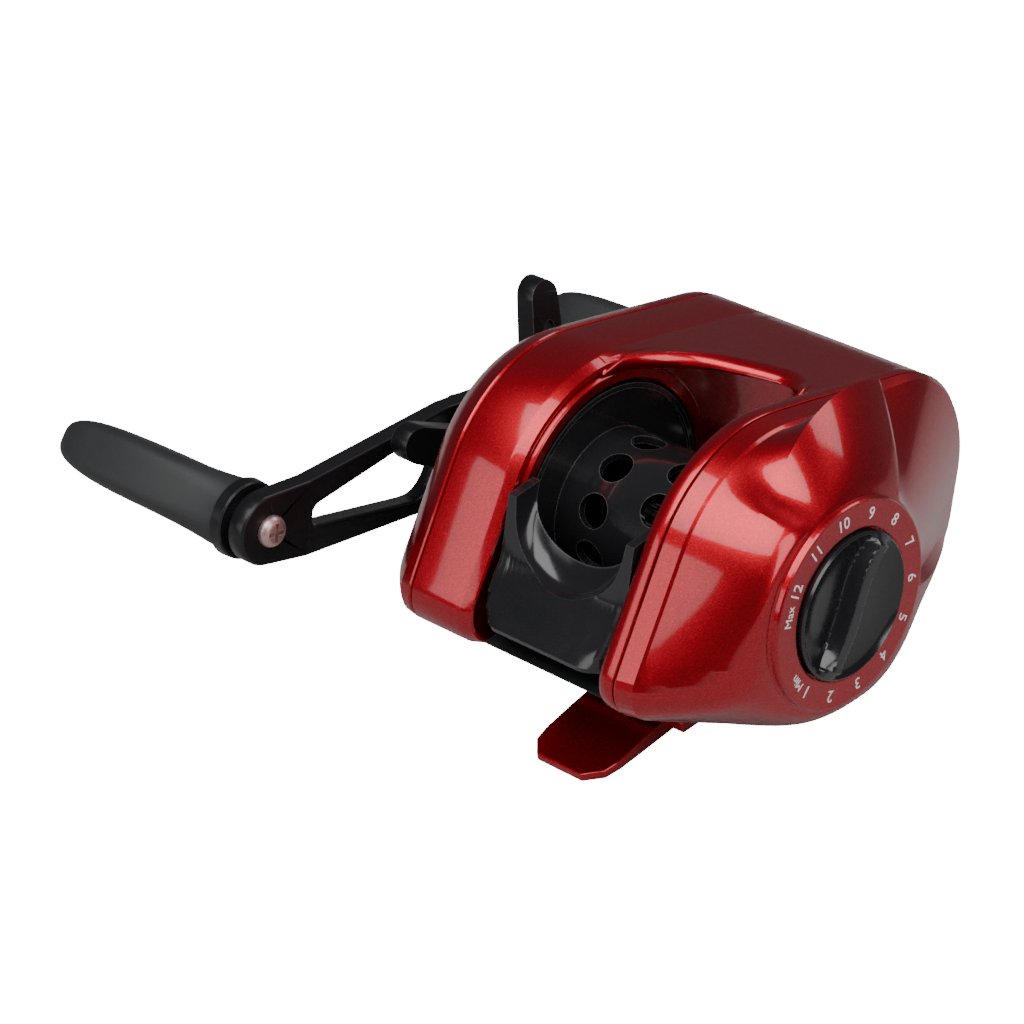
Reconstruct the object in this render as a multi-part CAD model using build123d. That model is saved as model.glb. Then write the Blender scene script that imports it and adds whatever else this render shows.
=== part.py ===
import os
from math import acos, atan2, cos, degrees, hypot, pi, radians, sin, sqrt, tan

from build123d import *

os.makedirs("parts", exist_ok=True)

# Clearances
run_gap = 0.04          # radial clearance of a shaft in its bore
slide_gap = 0.2         # beside a sliding piece
body_gap = 0.35         # between separate moving bodies
seam_gap = 0.1          # between joined covers

# Shaft positions, (forward, up) from the middle of the foot's underside
spool_axis = (-3.0, 23.0)
drive_axis = (8.8, 13.0)
worm_axis = (24.0, 13.0)

# Body outline: discs that the side plates wrap around
crown_radius = 21.0
nose_centre = (23.0, 21.5)
nose_radius = 14.5
chin_centre = (25.0, 14.0)
chin_radius = 9.5
tail_centre = (-26.0, 19.5)
tail_radius = 5.0
belly_centre = (6.0, 12.0)
belly_radius = 13.5
wall = 1.8

# Body stations across the reel, palm side positive
inner_half_width = 11.0
palm_wall_width = 3.0
palm_rim = 3.2
dome_height = 11.2
ring_step = 1.2
dial_depth = 1.4
web_depth = 2.4
web_width = 1.6
gear_case_depth = 6.5
cover_rim = 2.0
cover_depth = 5.0
palm_seam = inner_half_width + palm_wall_width
palm_crease = palm_seam + palm_rim
ring_base = palm_crease + dome_height
ring_face = ring_base + ring_step
dial_floor = ring_face - dial_depth
web_face = -inner_half_width - web_depth
web_back = web_face - web_width
gear_seam = web_back - gear_case_depth
cover_shoulder = gear_seam - cover_rim
cover_face = cover_shoulder - cover_depth
rear_fullness = 2.0
front_fullness = 1.15
dome_steps = 5
cover_face_scale = 0.8
cap_boss_height = 2.6
cap_boss_wall = 1.4
sleeve_boss_wall = 1.2
sleeve_boss_height = 0.6
step_ring_width = 2.3
step_depth = 1.0

# Frame bridges
hood_thickness = 2.2
hood_rear_gear = 6.5
hood_rear_middle = 14.4
hood_rear_palm = 16.2
hood_bottom = 27.0
lip_rear = 26.5
lip_top = 6.9
floor_rear = -17.0
floor_front = 27.0

# Spool
spool_radius = 16.5
spool_half_width = inner_half_width + 1.8
spool_flange = 1.2
arbor_radius = 10.4
arbor_wall = 1.1
arbor_hole_radius = 2.3
arbor_hole_count = 10
spool_hub_radius = 3.2
arbor_row_offset = 4.6
arbor_row_shift = -1.0
arbor_row_turn = 20.0
flange_lip = 0.8
arbor_web = 1.5
arbor_band = 6.0
spool_shaft_radius = 1.25
flange_gap = 0.5
bearing_radius = 4.0
bearing_width = 2.0
race_width = 0.8
shield_depth = 0.5
palm_bearing = palm_seam + 1.0
gear_bearing = cover_face + 1.9

# Gears
drive_teeth = 76
pinion_teeth = 12
wind_teeth = 40
worm_teeth = 20
pressure_angle = 25.0
backlash = 0.09
drive_gear_face = gear_seam + 0.5
drive_gear_width = 3.0
wind_gear_face = web_back - 2.4
wind_gear_width = 1.2
pinion_end = gear_seam - 1.1
pinion_flange_radius = 3.0
clutch_travel = 1.3
spool_pin_radius = 0.6

# Drive shaft and drag stack
drive_shaft_radius = 2.5
drive_shaft_end = cover_face - 25.0
sleeve_radius = 4.2
one_way_radius = 7.0
one_way_width = 4.5
drag_radius = 11.0
drag_thickness = 0.8
drag_recess = 1.0
pressure_plate_thickness = 1.0
pressure_collar_height = 0.8
spring_washer_radius = 4.8
spring_washer_thickness = 0.5
spring_washer_gap = 0.1
stack_gap = 1.4

# Star drag
star_face = cover_face - 9.5
star_hub_radius = 6.2
star_hub_width = 3.6
star_fingers = 5
star_reach = 26.0
star_sweep = 3.0
star_finger_width = 7.4
star_first_angle = -3.0
star_tip_radius = 2.6
star_tip_rise = 2.0
star_window_inner = 1.6
star_window_outer = 1.0
star_leg_start = 5.2
star_leg_end = 3.9
star_front_step = 0.2
star_back_step = 0.4
star_front_taper = 0.6
star_back_taper = 1.2

# Handle
handle_face = cover_face - 20.0
handle_thickness = 3.0
handle_sweep = 5.5
handle_angle = 162.7
handle_reach = 48.1
handle_hub_radius = 8.0
handle_end_radius = 5.0
handle_flat = 2.0
hub_boss_height = 3.5
window_near_radius = 4.8
window_far_radius = 1.6
window_near_gap = 8.0
window_far_gap = 9.5
hub_boss_radius = 4.6
nut_radius = 5.2
nut_height = 3.0
retainer_radius = 6.4
retainer_thickness = 0.6
retainer_lug_reach = 8.4
retainer_lug_radius = 2.2
retainer_fit = 0.1
knob_post_radius = 2.0
post_inset = 4.0
post_flange = 1.2
post_flange_width = 0.8
post_hole_radius = 0.8
post_hole_depth = 5.0
knob_length = 33.0
knob_base_radius = 5.2
knob_width = 17.0
knob_depth = 10.0
knob_turn = 134.0
knob_end_gap = 0.4
knob_neck = 0.3
knob_neck_width = 0.66
knob_neck_depth = 0.86
knob_widest = 0.72
knob_tip_width = 0.94
knob_tip_depth = 0.9
knob_tip_wall = 2.6

# Clutch
cam_radius = 6.6
cam_band = 1.6
cam_thickness = 0.8
cam_arm_radius = 1.2
cam_elbow = (-8.0, -7.8)
yoke_thickness = 1.1
yoke_eye_radius = 4.6
yoke_arm_radius = 2.4
post_radius = 1.0
post_reach = 8.5
post_offset = 3.2
post_seat = 0.4
spring_wire_radius = 0.22
spring_coils = 4

# Thumb bar
thumb_inner_radius = spool_radius + 1.5
thumb_bottom = 19.6
thumb_horn_top = 35.0
thumb_horn_reach = 17.9
saddle_rear = (-23.8, 26.9)
saddle_front = (-19.7, 30.0)
saddle_half_width = 7.6
saddle_depth = 5.5
pad_tip = (-30.0, 20.7)
pad_corner = 4.0
thumb_travel = 3.0
lug_front = -21.4
lug_length = 2.0
lug_bottom = 21.5
lug_top = 25.0
lug_gap = 0.6

# Brake dial
dial_radius = 10.0
dial_gap = 0.3
dial_proud = 0.7
dial_lip = 0.9
dial_dish = 1.2
dial_blade_height = 0.8
dial_blade_width = 3.0
dial_stem_radius = 4.0
dial_stem_flange = 1.5
dial_blade_angle = 45.0
numeral_ring_radius = 14.2
carrier_travel = 2.0
carrier_thickness = 2.4
carrier_bore = 5.8
carrier_rim = 2.6
magnet_ring_radius = 9.0
magnet_count = 8
magnet_radius = 1.6
magnet_depth = 1.6

# Level wind
worm_radius = 2.3
worm_journal = 1.5
worm_turns = 3.15
worm_groove = 0.5
worm_return_groove = 0.44
worm_groove_angle = 25.0
worm_end_gap = 0.6
worm_run_out = 2.5
worm_end = inner_half_width + 1.2
tube_slot_half = 1.5
tube_slot_inset = 2.0
tube_radius = 4.0
tube_wall = 0.6
guide_width = 7.0
guide_ring_centre = (31.0, 20.0)
guide_ring_radius = 3.4
guide_bore_radius = 2.0
guide_bar_centre = (29.5, 9.8)
guide_bar_radius = 1.1
guide_bar_seat = 1.5
guide_hub_wall = 1.6
guide_foot_wall = 1.4
tower_foot = (3.0, 2.0)
tower_top = (-0.4, 3.6)
tower_chin = (0.2, -5.0)
tower_edge_radius = 1.9
guide_ring_length = 4.2
guide_ring_flare = 0.6
bushing_radius = 5.2
pawl_radius = 1.1
cap_radius = 1.9
cap_thickness = 1.0
cap_drop = 0.8
pawl_gap = 0.1

# Foot
foot_length = 58.0
foot_width = 13.0
foot_thickness = 2.4
foot_neck_length = 30.0
foot_neck_width = 10.0
floor_top = 5.2

# Fasteners
screw_radius = 1.2
screw_head_radius = 2.2
screw_head_height = 1.1
arm_screw_radius = 2.2
arm_screw_height = 1.3
cross_reach = 1.4
cross_half_width = 0.3
screw_hole_end = web_back - 1.0
screw_boss_wall = 1.0
tail_screw = (9.0, -8.2)
nose_screw = (10.5, 2.0)
crown_screw = (1.0, crown_radius - 3.4)
slot_half_width = 0.3

# Spool tension cap
tension_wall = 1.6
tension_top = 1.8
tension_gap = 0.9
tension_flutes = 12
tension_flute_radius = 1.0


def polar(angle, radius):
    return (radius * cos(radians(angle)), radius * sin(radians(angle)))


def shifted(centre, angle, radius):
    away = polar(angle, radius)
    return (centre[0] + away[0], centre[1] + away[1])


def across(sketch, start, end):
    low = min(start, end)
    return extrude(Plane.YZ.offset(low) * sketch, amount=abs(end - start))


def rod(centre, radius, start, end):
    return across(Pos(*centre) * Circle(radius), start, end)


def ring(centre, outer, inner, start, end):
    return across(Pos(*centre) * (Circle(outer) - Circle(inner)), start, end)


def block(low, high):
    size = [high[i] - low[i] for i in range(3)]
    middle = [(high[i] + low[i]) / 2 for i in range(3)]
    return Pos(*middle) * Box(*size)


def cone(centre, start, start_radius, end, end_radius):
    first = Plane.YZ.offset(start) * (Pos(*centre) * Circle(start_radius))
    last = Plane.YZ.offset(end) * (Pos(*centre) * Circle(end_radius))
    return loft([first, last])


def write(name, shape):
    export_step(shape, f"parts/{name}.step")


def outline(inset=0.0, scale=1.0, belly=None, focus=spool_axis):
    belly = belly or (belly_centre, belly_radius)
    discs = [
        (spool_axis, crown_radius),
        (nose_centre, nose_radius),
        (chin_centre, chin_radius),
        belly,
        (tail_centre, tail_radius),
    ]
    edges = []
    for centre, radius in discs:
        y = focus[0] + (centre[0] - focus[0]) * scale
        z = focus[1] + (centre[1] - focus[1]) * scale
        edges.append((Pos(y, z) * Circle((radius - inset) * scale)).edge())
    return make_hull(edges)


def module_of(first_axis, second_axis, first_teeth, second_teeth):
    span = hypot(second_axis[0] - first_axis[0], second_axis[1] - first_axis[1])
    return 2 * span / (first_teeth + second_teeth)


drive_module = module_of(drive_axis, spool_axis, drive_teeth, pinion_teeth)
wind_module = module_of(drive_axis, worm_axis, wind_teeth, worm_teeth)
addendum = 0.85
dedendum = 1.1
drive_gear_radius = drive_module * (drive_teeth / 2 + addendum)
gear_belly = (drive_axis, drive_gear_radius + 0.8 + wall)
to_pinion = degrees(atan2(spool_axis[1] - drive_axis[1], spool_axis[0] - drive_axis[0]))
to_worm = degrees(atan2(worm_axis[1] - drive_axis[1], worm_axis[0] - drive_axis[0]))


def involute(angle):
    return tan(angle) - angle


def tooth_half_angle(radius, pitch_radius, base_radius, teeth):
    at_pitch = pi / (2 * teeth) - backlash / (2 * pitch_radius)
    if radius <= base_radius:
        return at_pitch + involute(radians(pressure_angle))
    here = acos(base_radius / radius)
    return at_pitch + involute(radians(pressure_angle)) - involute(here)


def gear_outline(centre, module, teeth, tooth_angle):
    pitch_radius = module * teeth / 2
    base_radius = pitch_radius * cos(radians(pressure_angle))
    tip = pitch_radius + module * addendum
    root = pitch_radius - module * dedendum
    start = max(root, base_radius)
    radii = [start + (tip - start) * step / 4 for step in range(5)]
    points = []
    for tooth in range(teeth):
        middle = radians(tooth_angle) + 2 * pi * tooth / teeth
        flank = [(root, tooth_half_angle(start, pitch_radius, base_radius, teeth))]
        flank += [(r, tooth_half_angle(r, pitch_radius, base_radius, teeth)) for r in radii]
        sides = [(r, middle - half) for r, half in flank]
        sides += [(r, middle + half) for r, half in reversed(flank)]
        for radius, angle in sides:
            points.append((centre[0] + radius * cos(angle), centre[1] + radius * sin(angle)))
    unique = [points[0]]
    for point in points[1:]:
        if hypot(point[0] - unique[-1][0], point[1] - unique[-1][1]) > 1e-5:
            unique.append(point)
    return make_face(Polyline(*unique, close=True))


# Frame: two side walls, hood, floor and foot in one casting
def frame_walls():
    palm_wall = across(outline(), inner_half_width, palm_seam)
    palm_wall -= rod(spool_axis, spool_radius + flange_gap, inner_half_width - 1, palm_seam + 1)
    gear_wall = across(outline(belly=gear_belly), -inner_half_width, web_back)
    skirt = outline(belly=gear_belly) - outline(inset=wall, belly=gear_belly)
    gear_wall += across(skirt, web_back, gear_seam)
    gear_wall -= rod(spool_axis, spool_radius + flange_gap, web_face, -inner_half_width + 1)
    pocket = outline(wall, belly=gear_belly) - Pos(*spool_axis) * Circle(spool_radius + step_ring_width)
    gear_wall -= across(pocket, -inner_half_width - step_depth, -inner_half_width + 1)
    return palm_wall + gear_wall


def hood_plan():
    width = inner_half_width
    rear = Spline((-width, hood_rear_gear), (0, hood_rear_middle), (width, hood_rear_palm))
    front = nose_centre[0] + nose_radius + 1
    sides = Polyline(rear @ 1, (width, front), (-width, front), rear @ 0)
    return make_face(rear + sides)


def frame_bridges():
    width = inner_half_width
    top = spool_axis[1] + crown_radius + 1
    shell = across(outline() - outline(inset=hood_thickness), -width - step_depth, width)
    hood = shell & Pos(0, 0, hood_bottom) * extrude(hood_plan(), amount=top - hood_bottom)
    edge = -width - step_depth
    hood += shell & block((edge, hood_rear_gear, hood_bottom), (-width, nose_centre[0], top))
    lip = shell & block((edge, lip_rear, 0), (width, chin_centre[0] + chin_radius, lip_top))
    floor = block((edge, floor_rear, foot_thickness), (width, floor_front, floor_top))
    floor &= across(outline(), edge, width)
    neck_low = (-foot_neck_width / 2, -foot_neck_length / 2, 0)
    neck_high = (foot_neck_width / 2, foot_neck_length / 2, floor_top)
    return hood + lip + floor + block(neck_low, neck_high)


def foot():
    plan = SlotOverall(foot_length, foot_width, rotation=90)
    plate = extrude(plan, amount=foot_thickness)
    thinning = foot_thickness / 2
    for end in (-1, 1):
        ramp = Plane.YZ * Polyline(
            (end * foot_neck_length / 2, foot_thickness),
            (end * (foot_length / 2 + 1), foot_thickness),
            (end * (foot_length / 2 + 1), foot_thickness - thinning),
            close=True,
        )
        plate -= extrude(make_face(ramp), amount=foot_width, both=True)
    return plate


def frame():
    body = frame_walls() + frame_bridges() + foot()
    body -= rod(spool_axis, pinion_flange_radius + body_gap, web_back - 1, web_face + 1)
    body -= rod(drive_axis, bearing_radius, web_back - 1, web_face + 1)
    for x in (inner_half_width, -inner_half_width):
        side = 1 if x > 0 else -1
        far = palm_seam - 1 if side > 0 else web_back - 1
        body -= rod(worm_axis, bushing_radius, x - side, far)
        body -= rod(guide_bar_centre, guide_bar_radius, x - side, x + side * guide_bar_seat)
    slot_low = (web_back - 1, lug_front - lug_length - 2 * lug_gap, lug_bottom - thumb_travel - lug_gap)
    body -= block(slot_low, (-inner_half_width + 1, lug_front + lug_gap, lug_top + lug_gap))
    for centre in screw_centres():
        boss = (Pos(*centre) * Circle(screw_radius + screw_boss_wall)) & outline(belly=gear_belly)
        body += across(boss, web_back, gear_seam)
        body -= rod(centre, screw_radius, screw_hole_end, gear_seam - 1)
    for centre in post_centres():
        body -= rod(centre, post_radius, web_back - 1, web_face - post_seat)
    return body


def offset_from(centre, step):
    return (centre[0] + step[0], centre[1] + step[1])


def screw_centres():
    return [
        offset_from(tail_centre, tail_screw),
        offset_from(nose_centre, nose_screw),
        offset_from(spool_axis, crown_screw),
    ]


def post_centres():
    away = shifted(spool_axis, to_pinion, post_offset)
    return [shifted(away, to_pinion + 90, post_reach), shifted(away, to_pinion - 90, post_reach)]


# Palm side plate: a dome that closes in from the body outline to the dial's numeral ring
def dome_outline(station, inset=0.0):
    height = (station - palm_crease) / (ring_base - palm_crease)
    discs = [
        (spool_axis, crown_radius, rear_fullness),
        (nose_centre, nose_radius, front_fullness),
        (chin_centre, chin_radius, front_fullness),
        (belly_centre, belly_radius, rear_fullness),
        (tail_centre, tail_radius, rear_fullness),
    ]
    edges = []
    for centre, radius, fullness in discs:
        share = 1 - (1 - height) ** (1 / fullness)
        y = centre[0] + (spool_axis[0] - centre[0]) * share
        z = centre[1] + (spool_axis[1] - centre[1]) * share
        size = radius + (numeral_ring_radius - radius) * share - inset
        edges.append((Pos(y, z) * Circle(size)).edge())
    return make_hull(edges)


def dome(inset=0.0):
    span = ring_base - palm_crease
    shape = across(outline(inset), palm_seam + seam_gap, palm_crease)
    stations = [palm_crease + span * sin(radians(90 * step / dome_steps)) for step in range(dome_steps)]
    stations.append(ring_base - 0.02 * span)
    for low, high in zip(stations, stations[1:]):
        pair = [Plane.YZ.offset(x) * dome_outline(x, inset) for x in (low, high)]
        shape += loft(pair, ruled=True)
    return shape


def palm_side_plate():
    outer = dome() + rod(spool_axis, numeral_ring_radius, ring_base - 2.0, ring_face)
    inner = dome(wall) & across(outline(), palm_seam, dial_floor - wall)
    plate = outer - inner
    plate -= rod(spool_axis, dial_radius + dial_gap, dial_floor, ring_face + 1)
    return plate - rod(spool_axis, dial_stem_radius + run_gap, dial_floor - wall - 1, dial_floor + 1)


# Brake base that closes the palm side of the spool opening
def brake_base():
    disc = rod(spool_axis, spool_radius + flange_gap - 0.05, palm_seam - 0.5, palm_bearing)
    disc += rod(spool_axis, bearing_radius + 1.2, palm_bearing - 0.5, palm_bearing + bearing_width)
    disc -= rod(spool_axis, bearing_radius, palm_bearing, palm_bearing + bearing_width + 1)
    disc -= rod(spool_axis, spool_shaft_radius + body_gap, palm_seam - 1, palm_bearing + 1)
    return disc


def carrier_start():
    return palm_bearing + bearing_width + carrier_travel + body_gap


def magnet_centres():
    step = 360 / magnet_count
    return [shifted(spool_axis, index * step, magnet_ring_radius) for index in range(magnet_count)]


def magnet_carrier():
    start = carrier_start()
    outer = magnet_ring_radius + carrier_rim
    plate = ring(spool_axis, outer, carrier_bore, start, start + carrier_thickness)
    for centre in magnet_centres():
        plate -= rod(centre, magnet_radius, start - 1, start + magnet_depth)
    return plate


def brake_magnets():
    start = carrier_start()
    magnets = [rod(centre, magnet_radius, start, start + magnet_depth) for centre in magnet_centres()]
    return Compound(children=magnets)


def dial_blade(low, high):
    half = dial_radius - dial_lip
    blade = across(SlotOverall(2 * half, dial_blade_width), low, high)
    blade = chamfer(blade.edges().group_by(Axis.X)[-1], dial_blade_height * 0.9)
    return Pos(0, *spool_axis) * Rot(dial_blade_angle, 0, 0) * blade


def brake_dial():
    low = dial_floor + dial_gap
    top = ring_face + dial_proud
    dial = rod(spool_axis, dial_radius, low, top)
    dish_radius = dial_radius - dial_lip
    dial -= cone(spool_axis, top - dial_dish, dish_radius - dial_lip, top + 0.01, dish_radius)
    stem_end = carrier_start() + carrier_travel + carrier_thickness
    dial += rod(spool_axis, dial_stem_radius, stem_end, low)
    flange_face = dial_floor - wall - dial_gap
    dial += rod(spool_axis, dial_stem_radius + dial_stem_flange, stem_end, flange_face)
    return dial + dial_blade(top - dial_dish - 0.1, top + dial_blade_height)


# Gear side cover with bosses for the spool cap and the one way bearing
def face_outline(inset):
    return outline(inset, cover_face_scale, gear_belly, drive_axis)


def gear_side_cover():
    def layers(inset):
        rim = across(outline(inset, belly=gear_belly), gear_seam - seam_gap, cover_shoulder)
        face = loft([
            Plane.YZ.offset(cover_shoulder) * outline(inset, belly=gear_belly),
            Plane.YZ.offset(cover_face + inset) * face_outline(inset),
        ])
        return rim + face

    cover = layers(0) - layers(wall)
    boss_end = cover_face - cap_boss_height
    cover += rod(spool_axis, bearing_radius + cap_boss_wall, gear_bearing + bearing_width + 0.2, boss_end)
    sleeve_end = cover_face - sleeve_boss_height
    sleeve_radius_outer = one_way_radius + sleeve_boss_wall
    cover += rod(drive_axis, sleeve_radius_outer, cover_face + one_way_width + 0.3, sleeve_end)
    cover -= rod(spool_axis, bearing_radius, gear_bearing + bearing_width + 1, boss_end - 1)
    cover -= rod(drive_axis, one_way_radius, cover_face + one_way_width + 1, cover_face - 2)
    for centre in screw_centres():
        boss = Pos(*centre) * Circle(screw_head_radius + screw_boss_wall)
        boss &= outline(wall, belly=gear_belly)
        cover += across(boss, gear_seam - seam_gap, cover_shoulder - 1.2)
        cover -= rod(centre, screw_radius, gear_seam + 1, cover_face - 1)
        cover -= rod(centre, screw_head_radius + 0.1, cover_shoulder - 0.4, cover_face - 1)
    return cover


def cover_screws():
    screws = []
    for centre in screw_centres():
        head_face = cover_shoulder - 0.4
        screw = rod(centre, screw_radius, head_face, screw_hole_end - 0.3)
        screw += rod(centre, screw_head_radius, head_face - screw_head_height, head_face)
        slot = Box(screw_head_height, 2 * screw_head_radius, 2 * slot_half_width)
        screw -= Pos(head_face - screw_head_height, *centre) * slot
        screws.append(screw)
    return Compound(children=screws)


# Spool
def arbor_hole(index, side):
    turn = (index + (0.5 if side > 0 else 0)) * 360 / arbor_hole_count + arbor_row_turn
    middle = (arbor_radius + spool_hub_radius) / 2 + 2
    hole = Pos(side * arbor_row_offset + arbor_row_shift, 0, middle) * Cylinder(arbor_hole_radius, 7)
    return Pos(0, *spool_axis) * Rot(turn, 0, 0) * hole


def spool():
    half = spool_half_width
    body = ring(spool_axis, spool_radius, arbor_radius - arbor_wall, -half, half)
    body -= ring(spool_axis, spool_radius + 1, arbor_radius, -half + spool_flange, half - spool_flange)
    for side in (-1, 1):
        lip_end = side * (half - spool_flange - flange_lip / 2)
        body += ring(spool_axis, spool_radius, spool_radius - flange_lip, side * half, lip_end)
    body += ring(spool_axis, arbor_radius, spool_shaft_radius, -half + arbor_web, -half + 2 * arbor_web)
    body += ring(spool_axis, spool_hub_radius, spool_shaft_radius, -half + arbor_web / 2, half - 2.0)
    body += ring(spool_axis, arbor_radius, arbor_radius - 1.5 * arbor_wall, half - arbor_band, half)
    for index in range(arbor_hole_count):
        for side in (-1, 1):
            body -= arbor_hole(index, side)
    return body


def shaft_end():
    return cover_face - 1.6


def spool_shaft():
    shaft = rod(spool_axis, spool_shaft_radius, shaft_end(), palm_bearing + bearing_width)
    return shaft - spool_pin()


def pin_station():
    return web_back - 0.2


def spool_pin():
    length = 2 * pinion_flange_radius - 0.6
    return Pos(pin_station(), *spool_axis) * Cylinder(spool_pin_radius, length)


def spool_bearing(start):
    end = start + bearing_width
    bore = spool_shaft_radius + run_gap
    outer = ring(spool_axis, bearing_radius, bearing_radius - race_width, start, end)
    inner = ring(spool_axis, bore + race_width, bore, start, end)
    web_outer = bearing_radius - race_width / 2
    web_inner = bore + race_width / 2
    web = ring(spool_axis, web_outer, web_inner, start + shield_depth, end - shield_depth)
    return outer + inner + web


# Gears
def pinion_gear():
    tooth_angle = to_pinion + 180 + 180 / pinion_teeth
    blank = gear_outline(spool_axis, drive_module, pinion_teeth, tooth_angle)
    gear = across(blank, pinion_end, wind_gear_face - 0.3)
    neck_radius = drive_module * (pinion_teeth / 2 - dedendum)
    gear += rod(spool_axis, neck_radius, wind_gear_face - 0.3, pin_station() - 0.6)
    gear += rod(spool_axis, pinion_flange_radius, pin_station() - 0.8, web_face - 0.5)
    gear -= rod(spool_axis, spool_shaft_radius + run_gap, pinion_end - 1, web_face + 1)
    slot_half = spool_pin_radius + 0.15
    low = (pin_station() - slot_half, spool_axis[0] - slot_half, spool_axis[1] - 5)
    gear -= block(low, (web_face + 1, spool_axis[0] + slot_half, spool_axis[1] + 5))
    return gear


def drive_gear():
    blank = gear_outline(drive_axis, drive_module, drive_teeth, to_pinion)
    gear = across(blank, drive_gear_face, drive_gear_face + drive_gear_width)
    gear -= rod(drive_axis, drag_radius + 0.2, drive_gear_face - 1, drive_gear_face + drag_recess)
    return gear - rod(drive_axis, drive_shaft_radius, drive_gear_face - 1, web_back)


def levelwind_drive_gear():
    blank = gear_outline(drive_axis, wind_module, wind_teeth, to_worm)
    gear = across(blank, wind_gear_face, wind_gear_face + wind_gear_width)
    gear -= rod(drive_axis, drive_shaft_radius, wind_gear_face - 1, web_back + 1)
    for index in range(5):
        gear -= rod(shifted(drive_axis, index * 72, 6.2), 1.6, wind_gear_face - 1, web_back)
    return gear


def worm_gear():
    tooth_angle = to_worm + 180 + 180 / worm_teeth
    blank = gear_outline(worm_axis, wind_module, worm_teeth, tooth_angle)
    gear = across(blank, wind_gear_face, wind_gear_face + wind_gear_width)
    return gear - rod(worm_axis, worm_journal, wind_gear_face - 1, web_back)


# Clutch
def yoke_station():
    return wind_gear_face + 0.05


def clutch_yoke():
    start = yoke_station()
    first, second = post_centres()
    bar = make_hull([(Pos(*centre) * Circle(yoke_arm_radius)).edge() for centre in (first, second)])
    bar += Pos(*shifted(spool_axis, to_pinion, cam_arm_radius)) * Circle(yoke_eye_radius)
    bar -= Pos(*drive_axis) * Circle(drive_gear_radius + body_gap)
    plate = across(bar, start, start + yoke_thickness)
    neck = drive_module * (pinion_teeth / 2 - dedendum) + run_gap
    plate -= rod(spool_axis, neck, start - 1, start + 2)
    mouth = across(Rectangle(2 * neck, 12), start - 1, start + 2)
    plate -= Pos(0, *shifted(spool_axis, to_pinion + 180, 6)) * Rot(to_pinion - 90, 0, 0) * mouth
    plate -= rod(shifted(spool_axis, to_pinion + 180, 6.0), 4.2, start - 1, start + 2)
    for centre in (first, second):
        plate -= rod(centre, post_radius + run_gap, start - 1, start + 2)
    return plate


def yoke_posts():
    start = web_face - post_seat
    end = gear_seam + post_seat
    return Compound(children=[rod(centre, post_radius, start, end) for centre in post_centres()])


def yoke_springs():
    start = gear_seam + 0.5
    springs = []
    for centre in post_centres():
        span = yoke_station() - 0.05 - start
        height = span - 2 * spring_wire_radius - 0.06
        reach = post_radius + 2.5 * spring_wire_radius
        coil = Helix(pitch=height / spring_coils, height=height, radius=reach)
        wire = Plane(coil @ 0, z_dir=coil % 0) * Circle(spring_wire_radius)
        spring = sweep(wire, path=coil, is_frenet=True)
        springs.append(Pos(start + spring_wire_radius + 0.03, *centre) * Rot(0, 90, 0) * spring)
    return Compound(children=springs)


def clutch_cam():
    start = web_back - 1.1
    end = start + cam_thickness
    cam = ring(spool_axis, cam_radius, cam_radius - cam_band, start, end)
    tip = (lug_front - lug_length / 2, lug_bottom - 0.3 - cam_arm_radius)
    elbow = offset_from(spool_axis, cam_elbow)
    root = (spool_axis[0] - 1.5, spool_axis[1] - cam_radius + 0.9)
    for first, second in ((root, elbow), (elbow, tip)):
        discs = [(Pos(*centre) * Circle(cam_arm_radius)).edge() for centre in (first, second)]
        cam += across(make_hull(discs), start, end)
    return cam - rod(spool_axis, cam_radius - cam_band, start - 1, end + 1)


# Thumb bar: a sloping pad between two horns, with a saddle for the thumb
def thumb_saddle():
    run = (saddle_rear[0] - saddle_front[0], saddle_rear[1] - saddle_front[1])
    length = hypot(*run)
    along = (run[0] / length, run[1] / length)
    up = (along[1], -along[0])
    origin = (0, saddle_front[0] + up[0] * saddle_depth, saddle_front[1] + up[1] * saddle_depth)
    plane = Plane(origin=origin, x_dir=(1, 0, 0), z_dir=(0, *along))
    return extrude(plane * Ellipse(saddle_half_width, saddle_depth), amount=3 * length, both=True)


def thumb_bar():
    half = inner_half_width - slide_gap
    horn_rear = spool_axis[0] - thumb_horn_reach
    side = make_face(Polyline(
        (spool_axis[0], thumb_bottom),
        (spool_axis[0], thumb_horn_top),
        (horn_rear, thumb_horn_top),
        saddle_rear,
        pad_tip,
        (pad_tip[0] + 0.6, thumb_bottom),
        close=True,
    ))
    bar = across(side - Pos(*spool_axis) * Circle(thumb_inner_radius), -half, half) - thumb_saddle()
    plan = Pos(0, pad_tip[0] + 20) * RectangleRounded(2 * half, 40, pad_corner)
    bar &= extrude(plan, amount=thumb_horn_top + 1)
    lug = block((web_back - 1.3, lug_front - lug_length, lug_bottom), (-half + 1, lug_front, lug_top))
    return bar + lug


def thumb_bar_guard():
    half = inner_half_width
    panel = across(outline(0.6) - Pos(*spool_axis) * Circle(spool_radius + 1.0), -half, half)
    top = thumb_bottom - thumb_travel - 0.5
    return panel & block((-half, -40, floor_top + 0.1), (half, -14.5, top))


# Drive shaft, drag stack and star
def drive_shaft():
    shaft = rod(drive_axis, drive_shaft_radius, drive_shaft_end, web_face - 0.2)
    flange = rod(drive_axis, drive_shaft_radius + 1.0, web_back - 0.1, wind_gear_face + wind_gear_width)
    return shaft + flange


def drive_shaft_bearing():
    return ring(drive_axis, bearing_radius, drive_shaft_radius + run_gap, web_back, web_face - 0.1)


def drag_washer():
    end = drive_gear_face + drag_recess
    return ring(drive_axis, drag_radius, drive_shaft_radius, plate_end(), end)


def plate_end():
    return drive_gear_face + drag_recess - drag_thickness


def drag_pressure_plate():
    middle = plate_end() - pressure_plate_thickness
    plate = ring(drive_axis, drag_radius, drive_shaft_radius, middle, plate_end())
    return plate + ring(drive_axis, sleeve_radius + 1.0, drive_shaft_radius, sleeve_start(), middle)


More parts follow.
